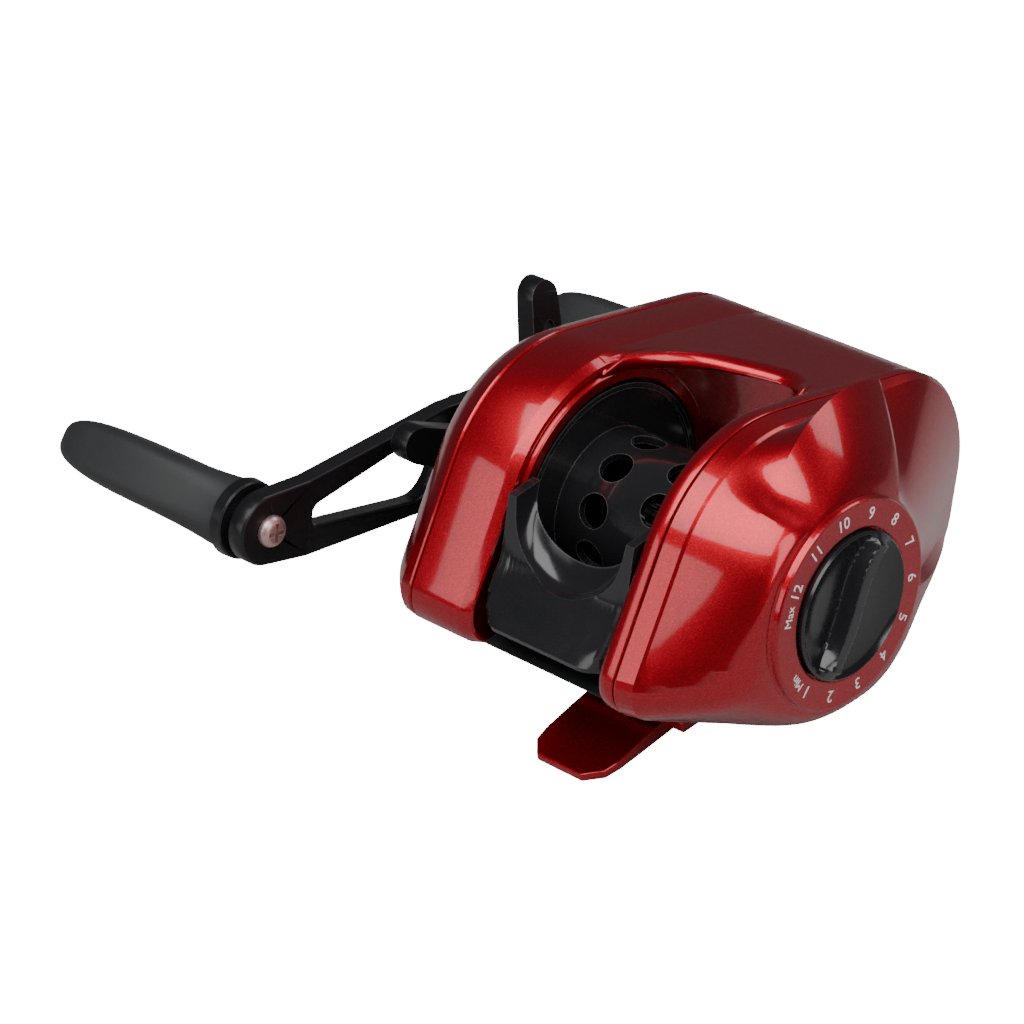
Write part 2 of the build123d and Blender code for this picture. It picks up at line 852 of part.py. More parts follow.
def sleeve_start():
    return plate_end() - pressure_plate_thickness - pressure_collar_height


def one_way_sleeve():
    return ring(drive_axis, sleeve_radius, drive_shaft_radius, star_base() + stack_gap, sleeve_start())


def one_way_bearing():
    start = cover_face + 0.1
    return ring(drive_axis, one_way_radius, sleeve_radius + run_gap, start, start + one_way_width - 0.3)


def star_base():
    return star_face + star_hub_width


def spring_washers():
    washers = []
    for index in range(2):
        start = star_base() + spring_washer_gap + index * (spring_washer_thickness + spring_washer_gap)
        end = start + spring_washer_thickness
        washers.append(ring(drive_axis, spring_washer_radius, drive_shaft_radius, start, end))
    return Compound(children=washers)


def star_finger():
    inner = star_hub_radius - 1.5
    web = make_hull([
        (Pos(inner, 0) * Circle(star_finger_width / 2)).edge(),
        (Pos(star_reach - star_tip_radius, star_tip_rise) * Circle(star_tip_radius)).edge(),
    ])
    window_end = (star_reach - star_tip_radius - star_leg_end, star_tip_rise * 0.65)
    window = make_hull([
        (Pos(inner + star_leg_start, 0.3) * Circle(star_window_inner)).edge(),
        (Pos(*window_end) * Circle(star_window_outer)).edge(),
    ])
    plan = across(web - window, star_face - star_sweep - 4, star_base() + 2)
    front = star_face - star_front_step
    back = star_base() - star_back_step
    side = Plane.XY * Polyline(
        (back, 0),
        (back, star_hub_radius + 1),
        (back - star_back_taper - star_sweep, star_reach + 1),
        (front - star_front_taper - star_sweep, star_reach + 1),
        (front, star_hub_radius),
        (front, 0),
        close=True,
    )
    return plan & extrude(make_face(side), amount=20, both=True)


def star_drag():
    star = rod((0, 0), star_hub_radius, star_face, star_base())
    finger = star_finger()
    for index in range(star_fingers):
        star += Rot(star_first_angle + index * 360 / star_fingers, 0, 0) * finger
    star = Pos(0, *drive_axis) * star
    return star - rod(drive_axis, drive_shaft_radius + run_gap, star_face - 2, star_base() + 2)


# Handle, built along +Y and then turned on the drive axis
def placed(shape):
    return Pos(0, *drive_axis) * Rot(handle_angle, 0, 0) * shape


def handle_profile():
    hub = Circle(handle_hub_radius)
    end = Pos(handle_reach, 0) * Circle(handle_end_radius)
    arm = make_hull([hub.edge(), end.edge()])
    window = make_hull([
        (Pos(handle_hub_radius + window_near_gap, 0) * Circle(window_near_radius)).edge(),
        (Pos(handle_reach - window_far_gap, 0) * Circle(window_far_radius)).edge(),
    ])
    return arm - window


def handle_side():
    back = handle_face + handle_thickness
    lift = handle_sweep
    bend = handle_hub_radius + handle_flat
    near_end = handle_reach - handle_end_radius - handle_flat
    half = [
        (handle_face, bend),
        (handle_face + lift, near_end),
        (handle_face + lift, handle_reach + 8),
        (back + lift, handle_reach + 8),
        (back + lift, near_end),
        (back, bend),
    ]
    mirrored = [(x, -y) for x, y in reversed(half)]
    return make_face(Polyline(*half, *mirrored, close=True))


def handle_arm():
    plan = Sketch() + handle_profile() + Rot(0, 0, 180) * handle_profile()
    arm = across(plan, handle_face - 2, handle_face + handle_thickness + handle_sweep + 2)
    arm &= extrude(handle_side(), amount=20, both=True)
    arm += rod((0, 0), hub_boss_radius, handle_face, handle_face + handle_thickness + hub_boss_height)
    arm -= rod((0, 0), drive_shaft_radius, handle_face - 3, handle_face + 12)
    for side in (-1, 1):
        arm -= rod((side * handle_reach, 0), knob_post_radius, handle_face, handle_face + 12)
    return placed(arm)


def handle_nut():
    start = handle_face - nut_height
    nut = across(RegularPolygon(nut_radius, 6), start, handle_face)
    return placed(nut - rod((0, 0), drive_shaft_radius, start - 1, handle_face + 1))


def nut_retainer():
    start = handle_face - nut_height
    face = start - retainer_thickness
    lug_centre = (retainer_lug_reach, 0)
    collar = RegularPolygon(retainer_radius, 6) - RegularPolygon(nut_radius + retainer_fit, 6)
    cap = across(collar, face, handle_face)
    ends = [Circle(nut_radius).edge(), (Pos(*lug_centre) * Circle(retainer_lug_radius)).edge()]
    lug = across(make_hull(ends), face, start)
    lug -= rod((0, 0), drive_shaft_radius + retainer_fit, face - 1, start + 1)
    lug += rod(lug_centre, retainer_lug_radius, start, handle_face)
    lug -= rod(lug_centre, screw_radius, face - 1, handle_face + 1)
    return placed(cap + lug)


def retainer_screw():
    start = handle_face - nut_height - retainer_thickness
    centre = (retainer_lug_reach, 0)
    screw = rod(centre, screw_radius, start, handle_face)
    screw += rod(centre, screw_head_radius, start - screw_head_height, start)
    slot_low = (start - screw_head_height - 1, centre[0] - screw_head_radius, -slot_half_width)
    slot = block(slot_low, (start - screw_head_height / 2, centre[0] + screw_head_radius, slot_half_width))
    return placed(screw - slot)


def knob_centre(side):
    return (side * handle_reach, 0)


def post_face():
    return handle_face + handle_sweep


def knob_post(side):
    centre = knob_centre(side)
    start = post_face() - knob_length + post_inset
    post = rod(centre, knob_post_radius, start, post_face() + handle_thickness)
    post += rod(centre, knob_post_radius + post_flange, post_face() - post_flange_width, post_face())
    return placed(post - rod(centre, post_hole_radius, start - 1, start + post_hole_depth))


def arm_screw(side):
    centre = knob_centre(side)
    back = post_face() + handle_thickness
    head = rod(centre, arm_screw_radius, back, back + arm_screw_height)
    rim = head.edges().filter_by(GeomType.CIRCLE).sort_by(Axis.X)[-1]
    head = fillet(rim, arm_screw_height * 0.8)
    floor = back + arm_screw_height * 0.45
    for turn in (0, 90):
        arm = Box(2 * arm_screw_height, 2 * cross_reach, 2 * cross_half_width)
        head -= Pos(floor + arm_screw_height, *centre) * Rot(turn, 0, 0) * arm
    return placed(head)


def knob_section(width, depth, station):
    corner = min(width, depth) * 0.42
    return Plane.YZ.offset(station) * RectangleRounded(width, depth, corner)


def knob(side):
    base = post_face() - post_flange_width - knob_end_gap
    tip = base - knob_length
    neck = base - knob_length * knob_neck
    widest = base - knob_length * knob_widest
    body = loft([
        knob_section(2 * knob_base_radius, 2 * knob_base_radius, base),
        knob_section(knob_width * knob_neck_width, knob_depth * knob_neck_depth, neck),
        knob_section(knob_width, knob_depth, widest),
        knob_section(knob_width * knob_tip_width, knob_depth * knob_tip_depth, tip),
    ])
    body = Rot(knob_turn - handle_angle, 0, 0) * body
    body -= rod((0, 0), knob_post_radius + run_gap, tip + knob_tip_wall, base + 1)
    return placed(Pos(0, *knob_centre(side)) * body)


# Spool tension cap
def tension_knob():
    boss = bearing_radius + cap_boss_wall
    outer = boss + tension_wall
    boss_end = cover_face - cap_boss_height
    face = boss_end - tension_top
    cap = ring(spool_axis, outer, boss + run_gap, cover_face - tension_gap, boss_end - body_gap)
    cap += rod(spool_axis, outer, face, boss_end - body_gap)
    for index in range(tension_flutes):
        centre = shifted(spool_axis, index * 360 / tension_flutes, outer + 0.6)
        cap -= rod(centre, tension_flute_radius, face - 1, cover_face)
    return cap


def tension_shim():
    return rod(spool_axis, bearing_radius - 0.1, cover_face - 2.4, shaft_end() - 0.3)


# Level wind
def worm_shaft():
    half = inner_half_width - worm_end_gap
    shaft = rod(worm_axis, worm_radius, -half, half)
    length = 2 * (half - worm_run_out)
    for hand, groove in ((False, worm_groove), (True, worm_return_groove)):
        path = Helix(pitch=length / worm_turns, height=length, radius=worm_radius, lefthand=hand)
        cutter = sweep(Plane(path @ 0, z_dir=path % 0) * Circle(groove), path=path, is_frenet=True)
        shaft -= Pos(-length / 2, *worm_axis) * Rot(0, 90, 0) * Rot(0, 0, worm_groove_angle) * cutter
    return shaft + rod(worm_axis, worm_journal, wind_gear_face - 0.4, worm_end)


def worm_bushings():
    bushings = []
    for side, start in ((1, inner_half_width), (-1, -inner_half_width)):
        end = palm_seam - 1 if side > 0 else web_back
        low, high = sorted((start, end))
        bushings.append(ring(worm_axis, bushing_radius, worm_journal + run_gap, low, high))
    return Compound(children=bushings)


def worm_tube():
    tube = ring(worm_axis, tube_radius, tube_radius - tube_wall, -inner_half_width, inner_half_width)
    half = inner_half_width - tube_slot_inset
    low = (-half, worm_axis[0] - tube_slot_half, worm_axis[1] - tube_radius - 1)
    return tube - block(low, (half, worm_axis[0] + tube_slot_half, worm_axis[1]))


def guide_bar():
    half = inner_half_width + guide_bar_seat - seam_gap
    return rod(guide_bar_centre, guide_bar_radius, -half, half)


def line_guide():
    half = guide_width / 2
    hub = Pos(*worm_axis) * Circle(tube_radius + guide_hub_wall)
    lower = Pos(*guide_bar_centre) * Circle(guide_bar_radius + guide_foot_wall)
    sketch = make_hull([hub.edge(), lower.edge()])
    body = across(sketch, -half, half)
    corners = [
        offset_from(worm_axis, tower_foot),
        offset_from(guide_ring_centre, tower_top),
        offset_from(guide_ring_centre, tower_chin),
    ]
    tower = make_hull([(Pos(*corner) * Circle(tower_edge_radius)).edge() for corner in corners])
    body += across(tower, -half, half)
    body -= rod(worm_axis, tube_radius + run_gap, -half - 1, half + 1)
    body -= rod(guide_bar_centre, guide_bar_radius + run_gap, -half - 1, half + 1)
    eye = Pos(0, *guide_ring_centre) * Rot(90, 0, 0) * Cylinder(guide_ring_radius, 14)
    body -= eye
    socket = Pos(0, worm_axis[0], worm_axis[1] - tube_radius) * Cylinder(pawl_radius + run_gap, 5)
    seat = Pos(0, worm_axis[0], cap_top() - 2.0) * Cylinder(cap_radius, 4.0)
    return body - socket - seat


def guide_ring():
    outer = Cylinder(guide_ring_radius, guide_ring_length)
    outer -= Cylinder(guide_bore_radius, guide_ring_length + 1)
    shape = Pos(0, *guide_ring_centre) * Rot(90, 0, 0) * outer
    return chamfer(shape.edges().filter_by(GeomType.CIRCLE).group_by(SortBy.RADIUS)[0], guide_ring_flare)


def cap_top():
    return worm_axis[1] - tube_radius - cap_drop


def levelwind_pawl():
    top = worm_axis[1] - worm_radius - pawl_gap
    return Pos(0, worm_axis[0], (top + cap_top()) / 2) * Cylinder(pawl_radius, top - cap_top())


def pawl_cap():
    return Pos(0, worm_axis[0], cap_top() - cap_thickness / 2) * Cylinder(cap_radius, cap_thickness)


def build():
    write("frame", frame())
    write("palm_side_plate", palm_side_plate())
    write("gear_side_cover", gear_side_cover())
    write("cover_screws", cover_screws())
    write("thumb_bar_guard", thumb_bar_guard())
    write("thumb_bar", thumb_bar())
    write("brake_base", brake_base())
    write("magnet_carrier", magnet_carrier())
    write("brake_magnets", brake_magnets())
    write("brake_dial", brake_dial())
    write("spool", spool())
    write("spool_shaft", spool_shaft())
    write("spool_pin", spool_pin())
    write("spool_bearing_palm", spool_bearing(palm_bearing))
    write("spool_bearing_gear", spool_bearing(gear_bearing))
    write("pinion_gear", pinion_gear())
    write("drive_gear", drive_gear())
    write("levelwind_drive_gear", levelwind_drive_gear())
    write("worm_gear", worm_gear())
    write("clutch_yoke", clutch_yoke())
    write("yoke_posts", yoke_posts())
    write("yoke_springs", yoke_springs())
    write("clutch_cam", clutch_cam())
    write("drive_shaft", drive_shaft())
    write("drive_shaft_bearing", drive_shaft_bearing())
    write("drag_washer", drag_washer())
    write("drag_pressure_plate", drag_pressure_plate())
    write("one_way_sleeve", one_way_sleeve())
    write("one_way_bearing", one_way_bearing())
    write("spring_washers", spring_washers())
    write("star_drag", star_drag())
    write("handle_arm", handle_arm())
    write("handle_nut", handle_nut())
    write("nut_retainer", nut_retainer())
    write("retainer_screw", retainer_screw())
    for name, side in (("near", 1), ("far", -1)):
        write(f"knob_{name}", knob(side))
        write(f"knob_post_{name}", knob_post(side))
        write(f"arm_screw_{name}", arm_screw(side))
    write("tension_knob", tension_knob())
    write("tension_shim", tension_shim())
    write("worm_shaft", worm_shaft())
    write("worm_bushings", worm_bushings())
    write("worm_tube", worm_tube())
    write("guide_bar", guide_bar())
    write("line_guide", line_guide())
    write("guide_ring", guide_ring())
    write("levelwind_pawl", levelwind_pawl())
    write("pawl_cap", pawl_cap())


build()
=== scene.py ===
from math import cos, hypot, pi, radians, sin

import bmesh
import bpy
from mathutils import Matrix, Vector


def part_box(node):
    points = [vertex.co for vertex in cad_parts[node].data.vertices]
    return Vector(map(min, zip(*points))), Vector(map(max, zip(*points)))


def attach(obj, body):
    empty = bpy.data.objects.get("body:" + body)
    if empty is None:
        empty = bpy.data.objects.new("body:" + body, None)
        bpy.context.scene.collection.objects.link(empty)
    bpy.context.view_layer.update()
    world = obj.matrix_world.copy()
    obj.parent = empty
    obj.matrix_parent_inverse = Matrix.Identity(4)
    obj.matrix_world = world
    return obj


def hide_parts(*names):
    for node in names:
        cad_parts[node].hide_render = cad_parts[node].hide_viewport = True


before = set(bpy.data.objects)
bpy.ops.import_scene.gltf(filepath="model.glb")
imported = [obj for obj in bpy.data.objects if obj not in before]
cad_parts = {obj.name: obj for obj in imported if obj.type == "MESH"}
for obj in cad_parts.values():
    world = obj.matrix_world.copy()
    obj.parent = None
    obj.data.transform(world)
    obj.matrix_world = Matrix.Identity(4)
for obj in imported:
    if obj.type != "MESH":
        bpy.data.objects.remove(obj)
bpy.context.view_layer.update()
mm = 0.001
print("frame loaded:", len(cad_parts), "nodes")


def centreOf(node):
    low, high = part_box(node)
    return (low + high) / (2 * mm)


spoolCentre = centreOf("spool_bearing_palm")
driveCentre = centreOf("drive_shaft")
spoolYZ = (spoolCentre.y, spoolCentre.z)
driveYZ = (driveCentre.y, driveCentre.z)


# shader groups, built once and shared

def newGroup(name, inputs, outputs):
    group = bpy.data.node_groups.new(name, "ShaderNodeTree")
    for label, kind, value in inputs:
        socket = group.interface.new_socket(label, in_out="INPUT", socket_type=kind)
        socket.default_value = value
    for label, kind in outputs:
        group.interface.new_socket(label, in_out="OUTPUT", socket_type=kind)
    return group, group.nodes.new("NodeGroupInput"), group.nodes.new("NodeGroupOutput")


def addNode(tree, kind, **values):
    node = tree.nodes.new(kind)
    for key, value in values.items():
        if hasattr(node, key):
            setattr(node, key, value)
        else:
            node.inputs[key].default_value = value
    return node


def maths(tree, operation, first, second, clamp=False):
    node = tree.nodes.new("ShaderNodeMath")
    node.operation = operation
    node.use_clamp = clamp
    for socket, value in zip(node.inputs, (first, second)):
        if isinstance(value, (int, float)):
            socket.default_value = value
        else:
            tree.links.new(value, socket)
    return node.outputs[0]


wearSettings = {"gain": 14.0, "threshold": 0.55}


def makeEdgeWear():
    # rubbed edges: the rounded normal leans away from the true one there
    group, given, result = newGroup(
        "edgeWear",
        [
            ("Amount", "NodeSocketFloat", 0.5), ("Width", "NodeSocketFloat", 0.0004),
            ("Breakup", "NodeSocketFloat", 900.0),
        ],
        [("Mask", "NodeSocketFloat")],
    )
    links = group.links
    bevel = addNode(group, "ShaderNodeBevel", samples=4)
    links.new(given.outputs["Width"], bevel.inputs["Radius"])
    geometry = group.nodes.new("ShaderNodeNewGeometry")
    dot = group.nodes.new("ShaderNodeVectorMath")
    dot.operation = "DOT_PRODUCT"
    links.new(bevel.outputs[0], dot.inputs[0])
    links.new(geometry.outputs["Normal"], dot.inputs[1])
    lean = maths(group, "SUBTRACT", 1.0, dot.outputs["Value"])
    place = group.nodes.new("ShaderNodeTexCoord")
    noise = addNode(group, "ShaderNodeTexNoise", Detail=5.0, Roughness=0.65)
    links.new(place.outputs["Object"], noise.inputs["Vector"])
    links.new(given.outputs["Breakup"], noise.inputs["Scale"])
    grit = maths(group, "MULTIPLY", noise.outputs["Fac"], wearSettings["gain"])
    broken = maths(group, "MULTIPLY", lean, grit)
    strong = maths(group, "SUBTRACT", broken, wearSettings["threshold"], clamp=True)
    links.new(maths(group, "MULTIPLY", strong, given.outputs["Amount"], clamp=True), result.inputs["Mask"])
    return group


def makeGrain():
    # fine surface texture and slow smudges
    group, given, result = newGroup(
        "surfaceGrain",
        [("Scale", "NodeSocketFloat", 4000.0), ("Smudge", "NodeSocketFloat", 90.0)],
        [("Height", "NodeSocketFloat"), ("Smear", "NodeSocketFloat")],
    )
    links = group.links
    place = group.nodes.new("ShaderNodeTexCoord")
    fine = addNode(group, "ShaderNodeTexNoise", Detail=3.0, Roughness=0.6)
    slow = addNode(group, "ShaderNodeTexNoise", Detail=6.0, Roughness=0.7, Distortion=0.6)
    for noise, label in ((fine, "Scale"), (slow, "Smudge")):
        links.new(place.outputs["Object"], noise.inputs["Vector"])
        links.new(given.outputs[label], noise.inputs["Scale"])
    links.new(fine.outputs["Fac"], result.inputs["Height"])
    links.new(slow.outputs["Fac"], result.inputs["Smear"])
    return group


def makeFlakes():
    # metal flake under the lacquer: small cells, each a little lighter or darker
    group, given, result = newGroup(
        "lacquerFlakes",
        [("Scale", "NodeSocketFloat", 9000.0)],
        [("Sparkle", "NodeSocketFloat"), ("Tilt", "NodeSocketFloat")],
    )
    links = group.links
    place = group.nodes.new("ShaderNodeTexCoord")
    cells = group.nodes.new("ShaderNodeTexVoronoi")
    links.new(place.outputs["Object"], cells.inputs["Vector"])
    links.new(given.outputs["Scale"], cells.inputs["Scale"])
    split = group.nodes.new("ShaderNodeSeparateColor")
    links.new(cells.outputs["Color"], split.inputs[0])
    links.new(maths(group, "POWER", split.outputs[0], 3.0), result.inputs["Sparkle"])
    links.new(split.outputs[1], result.inputs["Tilt"])
    return group


edgeWear = makeEdgeWear()
surfaceGrain = makeGrain()
lacquerFlakes = makeFlakes()


def mixColour(tree, factor, first, second, blend="MIX"):
    node = tree.nodes.new("ShaderNodeMix")
    node.data_type = "RGBA"
    node.blend_type = blend
    for socket, value in ((node.inputs[0], factor), (node.inputs[6], first), (node.inputs[7], second)):
        if isinstance(value, (int, float)):
            socket.default_value = value
        elif isinstance(value, (tuple, list)):
            socket.default_value = (*value, 1.0)
        else:
            tree.links.new(value, socket)
    return node.outputs[2]


def useGroup(tree, group, **values):
    node = tree.nodes.new("ShaderNodeGroup")
    node.node_tree = group
    for key, value in values.items():
        node.inputs[key].default_value = value
    return node


def makeMaterial(name, look):
    material = bpy.data.materials.new(name)
    material.use_nodes = True
    tree = material.node_tree
    shader = tree.nodes["Principled BSDF"]
    grain = useGroup(tree, surfaceGrain, Scale=look.get("grain", 4000.0), Smudge=look.get("smudge", 90.0))
    wear = useGroup(tree, edgeWear, Amount=look.get("wear", 0.4), Width=look.get("wearWidth", 0.0003))
    colour = mixColour(tree, grain.outputs["Smear"], look["dark"], look["light"])
    height = grain.outputs["Height"]
    if "flake" in look:
        flakes = useGroup(tree, lacquerFlakes)
        colour = mixColour(tree, flakes.outputs["Sparkle"], colour, look["flake"])
        height = maths(tree, "ADD", maths(tree, "MULTIPLY", height, 0.3), flakes.outputs["Tilt"])
    colour = mixColour(tree, wear.outputs["Mask"], colour, look["worn"])
    tree.links.new(colour, shader.inputs["Base Color"])
    low, high = look["roughness"]
    spread = maths(tree, "MULTIPLY", grain.outputs["Smear"], high - low)
    rough = maths(tree, "ADD", spread, low)
    rough = maths(tree, "ADD", rough, maths(tree, "MULTIPLY", wear.outputs["Mask"], 0.15), clamp=True)
    tree.links.new(rough, shader.inputs["Roughness"])
    bump = addNode(tree, "ShaderNodeBump", Strength=look["bump"], Distance=0.05 * mm)
    tree.links.new(height, bump.inputs["Height"])
    tree.links.new(bump.outputs[0], shader.inputs["Normal"])
    shader.inputs["Metallic"].default_value = look.get("metallic", 0.0)
    shader.inputs["Coat Weight"].default_value = look.get("coat", 0.0)
    shader.inputs["Coat Roughness"].default_value = look.get("coatRoughness", 0.05)
    shader.inputs["Specular IOR Level"].default_value = look.get("specular", 0.5)
    return material


looks = {
    "redLacquer": dict(
        dark=(0.3, 0.0004, 0.007), light=(0.43, 0.0008, 0.011), flake=(0.58, 0.004, 0.018),
        worn=(0.5, 0.05, 0.05), metallic=0.9, roughness=(0.3, 0.4), coat=0.8, coatRoughness=0.08,
        bump=0.04, wear=0.25, smudge=40.0,
    ),
    "glossBlack": dict(
        dark=(0.006, 0.006, 0.007), light=(0.014, 0.014, 0.016), worn=(0.09, 0.09, 0.1),
        roughness=(0.12, 0.22), bump=0.008, wear=0.4, specular=0.6,
    ),
    "insertBlack": dict(
        dark=(0.012, 0.013, 0.014), light=(0.028, 0.029, 0.031), worn=(0.12, 0.12, 0.12),
        roughness=(0.3, 0.42), bump=0.1, wear=0.4,
    ),
    "satinBlack": dict(
        dark=(0.008, 0.008, 0.009), light=(0.02, 0.02, 0.022), worn=(0.18, 0.18, 0.19),
        metallic=0.5, roughness=(0.24, 0.38), bump=0.06, wear=0.6,
    ),
    "softGrip": dict(
        dark=(0.012, 0.0125, 0.0135), light=(0.022, 0.0225, 0.024), worn=(0.05, 0.05, 0.053),
        roughness=(0.5, 0.62), grain=2600.0, bump=0.3, wear=0.4, wearWidth=0.0006,
    ),
    "spoolBlack": dict(
        dark=(0.01, 0.01, 0.011), light=(0.022, 0.022, 0.024), worn=(0.2, 0.2, 0.21),
        metallic=0.3, roughness=(0.1, 0.18), bump=0.01, wear=0.7, coat=0.6,
    ),
    "steel": dict(
        dark=(0.42, 0.42, 0.43), light=(0.6, 0.6, 0.61), worn=(0.8, 0.8, 0.8),
        metallic=1.0, roughness=(0.18, 0.34), bump=0.08, wear=0.5,
    ),
    "tintedSteel": dict(
        dark=(0.42, 0.27, 0.25), light=(0.62, 0.44, 0.42), worn=(0.85, 0.72, 0.7),
        metallic=0.85, roughness=(0.3, 0.45), bump=0.1, wear=0.5,
    ),
    "brass": dict(
        dark=(0.5, 0.33, 0.1), light=(0.7, 0.5, 0.2), worn=(0.85, 0.7, 0.4),
        metallic=1.0, roughness=(0.22, 0.36), bump=0.08, wear=0.5,
    ),
    "polymer": dict(
        dark=(0.03, 0.03, 0.032), light=(0.05, 0.05, 0.054), worn=(0.12, 0.12, 0.12),
        roughness=(0.42, 0.55), bump=0.15, wear=0.3,
    ),
    "fibre": dict(
        dark=(0.035, 0.025, 0.02), light=(0.09, 0.07, 0.055), worn=(0.15, 0.12, 0.1),
        roughness=(0.65, 0.8), grain=2500.0, bump=0.4, wear=0.3,
    ),
    "nickel": dict(
        dark=(0.55, 0.55, 0.56), light=(0.72, 0.72, 0.73), worn=(0.85, 0.85, 0.85),
        metallic=1.0, roughness=(0.1, 0.2), bump=0.04, wear=0.4,
    ),
    "ceramic": dict(
        dark=(0.62, 0.62, 0.6), light=(0.74, 0.74, 0.72), worn=(0.8, 0.8, 0.78),
        roughness=(0.08, 0.16), bump=0.02, wear=0.2, coat=0.6,
    ),
    "whiteInk": dict(
        dark=(0.82, 0.81, 0.81), light=(0.92, 0.91, 0.91), worn=(0.6, 0.4, 0.4),
        roughness=(0.35, 0.5), bump=0.1, wear=0.2,
    ),
}
materials = {name: makeMaterial(name, look) for name, look in looks.items()}
print("materials ready:", len(materials))


# mesh helpers, all in millimetres until the mesh is made

def addPiece(name, points, faces, material, body, replaces=(), slot=None, sharp=35, bevel=None, levels=0):
    mesh = bpy.data.meshes.new(name)
    mesh.from_pydata([Vector(p) * mm for p in points], [], faces)
    work = bmesh.new()
    work.from_mesh(mesh)
    bmesh.ops.remove_doubles(work, verts=work.verts, dist=1e-7)
    bmesh.ops.recalc_face_normals(work, faces=work.faces)
    work.to_mesh(mesh)
    work.free()
    piece = bpy.data.objects.new(name, mesh)
    bpy.context.collection.objects.link(piece)
    mesh.materials.append(materials[material])
    mesh.shade_smooth()
    if levels:
        addModifier(piece, "SUBSURF", levels=levels, render_levels=levels)
    if bevel:
        addModifier(
            piece, "BEVEL", width=bevel * mm, segments=3, limit_method="ANGLE",
            angle_limit=radians(sharp), harden_normals=True, use_clamp_overlap=True,
        )
    else:
        mesh.set_sharp_from_angle(angle=radians(sharp))
    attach(piece, body)
    if replaces:
        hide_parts(*replaces)
    return piece


def addModifier(piece, kind, **values):
    modifier = piece.modifiers.new(kind.lower(), kind)
    for key, value in values.items():
        setattr(modifier, key, value)
    return modifier


def addRed(name, shape, replaces, **finish):
    return addPiece(name, *shape, "redLacquer", "reel_frame", replaces, "red_metal", **finish)


def join(*parts):
    points, faces = [], []
    for partPoints, partFaces in parts:
        start = len(points)
        points += partPoints
        faces += [[start + i for i in face] for face in partFaces]
    return points, faces


def loftRings(rings, capFirst=False, capLast=False, wrap=False):
    # rings of equal length, each a closed loop of points
    count = len(rings[0])
    points = [p for ring in rings for p in ring]
    faces = []
    last = len(rings) if wrap else len(rings) - 1
    for row in range(last):
        below, above = row * count, ((row + 1) % len(rings)) * count
        for i in range(count):
            j = (i + 1) % count
            faces.append([below + i, below + j, above + j, above + i])
    if capFirst:
        faces.append(list(range(count))[::-1])
    if capLast:
        faces.append([(len(rings) - 1) * count + i for i in range(count)])
    return points, faces


def circlePoints(x, radius, centre, count=96):
    angles = [2 * pi * i / count for i in range(count)]
    return [(x, centre[0] + radius * cos(a), centre[1] + radius * sin(a)) for a in angles]


def latheX(profile, centre, count=96, wrap=False, capFirst=False, capLast=False):
    return loftRings([circlePoints(x, r, centre, count) for x, r in profile], capFirst, capLast, wrap)


def smooth(t):
    t = max(0.0, min(1.0, t))
    return t * t * (3 - 2 * t)


def power(value, exponent):
    return abs(value) ** exponent * (1 if value > 0 else -1)


# the body's outline: a belt round five discs, (forward, up, radius)

bodySettings = {
    "crown": (spoolYZ[0], spoolYZ[1], 21.0),
    "nose": (23.0, 21.5, 14.5),
    "chin": (25.0, 14.0, 9.5),
    "tail": (-26.0, 19.5, 5.0),
    "palmBelly": (6.0, 12.0, 13.5),
    "gearBelly": (driveYZ[0], driveYZ[1], 16.2),
    "around": 180,
}


def beltRadius(discs, angle):
    best = 1e9
    for step in range(-80, 81):
        facing = angle + radians(step)
        reach = max((y - spoolYZ[0]) * cos(facing) + (z - spoolYZ[1]) * sin(facing) + r for y, z, r in discs)
        best = min(best, reach / cos(radians(step)))
    return best


def makeBelt(belly):
    discs = [bodySettings[k] for k in ("crown", "nose", "chin", "tail")] + [bodySettings[belly]]
    count = bodySettings["around"]
    return [beltRadius(discs, 2 * pi * i / count) for i in range(count)]


palmBelt = makeBelt("palmBelly")
gearBelt = makeBelt("gearBelly")


def beltRing(xAt, radiusAt):
    count = bodySettings["around"]
    ring = []
    for i in range(count):
        angle = 2 * pi * i / count
        radius = radiusAt(i, angle)
        ring.append((xAt(i, angle), spoolYZ[0] + radius * cos(angle), spoolYZ[1] + radius * sin(angle)))
    return ring


def fixed(value):
    return lambda i, angle: value


def inset(belt, amount):
    return lambda i, angle: belt[i] - amount


# palm side plate: a dome that climbs from the seam to the dial's ring, with flatter panels at the front

palmSettings = {
    "seam": 14.1, "crease": 17.2, "ringBase": 28.4, "ringTop": 29.6, "ringRadius": 14.2, "dialHole": 10.3,
    "recess": 28.2, "bore": 4.1, "wall": 1.8, "rows": 24, "creaseRow": 8,
    "panelHigh": 38.0, "panelLow": -24.0, "upperPanel": 92.0,
    "noseDrop": 2.0, "noseTurn": 5.0, "noseSpread": 60.0,
    "facetFront": (28.0, 30.0, 17.4), "facetRear": (100.0, 18.2, 22.4),
}


def turnOf(angle):
    # the direction from the spool's axis in degrees: 0 forward, 90 up
    return (angle * 180 / pi + 180) % 360 - 180


def noseDrop(turn):
    # how far the seam's crease drops towards the frame at the front
    s = palmSettings
    return s["noseDrop"] * smooth(1 - abs(turn - s["noseTurn"]) / s["noseSpread"])


def domePower(turn):
    # how round the climb is, by direction: hollow on the front panel, fuller at the back and below
    s = palmSettings
    if s["panelLow"] < turn < s["panelHigh"]:
        return 0.9
    if s["panelHigh"] <= turn < s["upperPanel"]:
        return 1.2 + 0.6 * smooth((turn - s["panelHigh"]) / (s["upperPanel"] - s["panelHigh"]))
    if turn >= s["upperPanel"]:
        return 2.1
    return 1.3 + 0.7 * smooth((s["panelLow"] - turn) / 40)


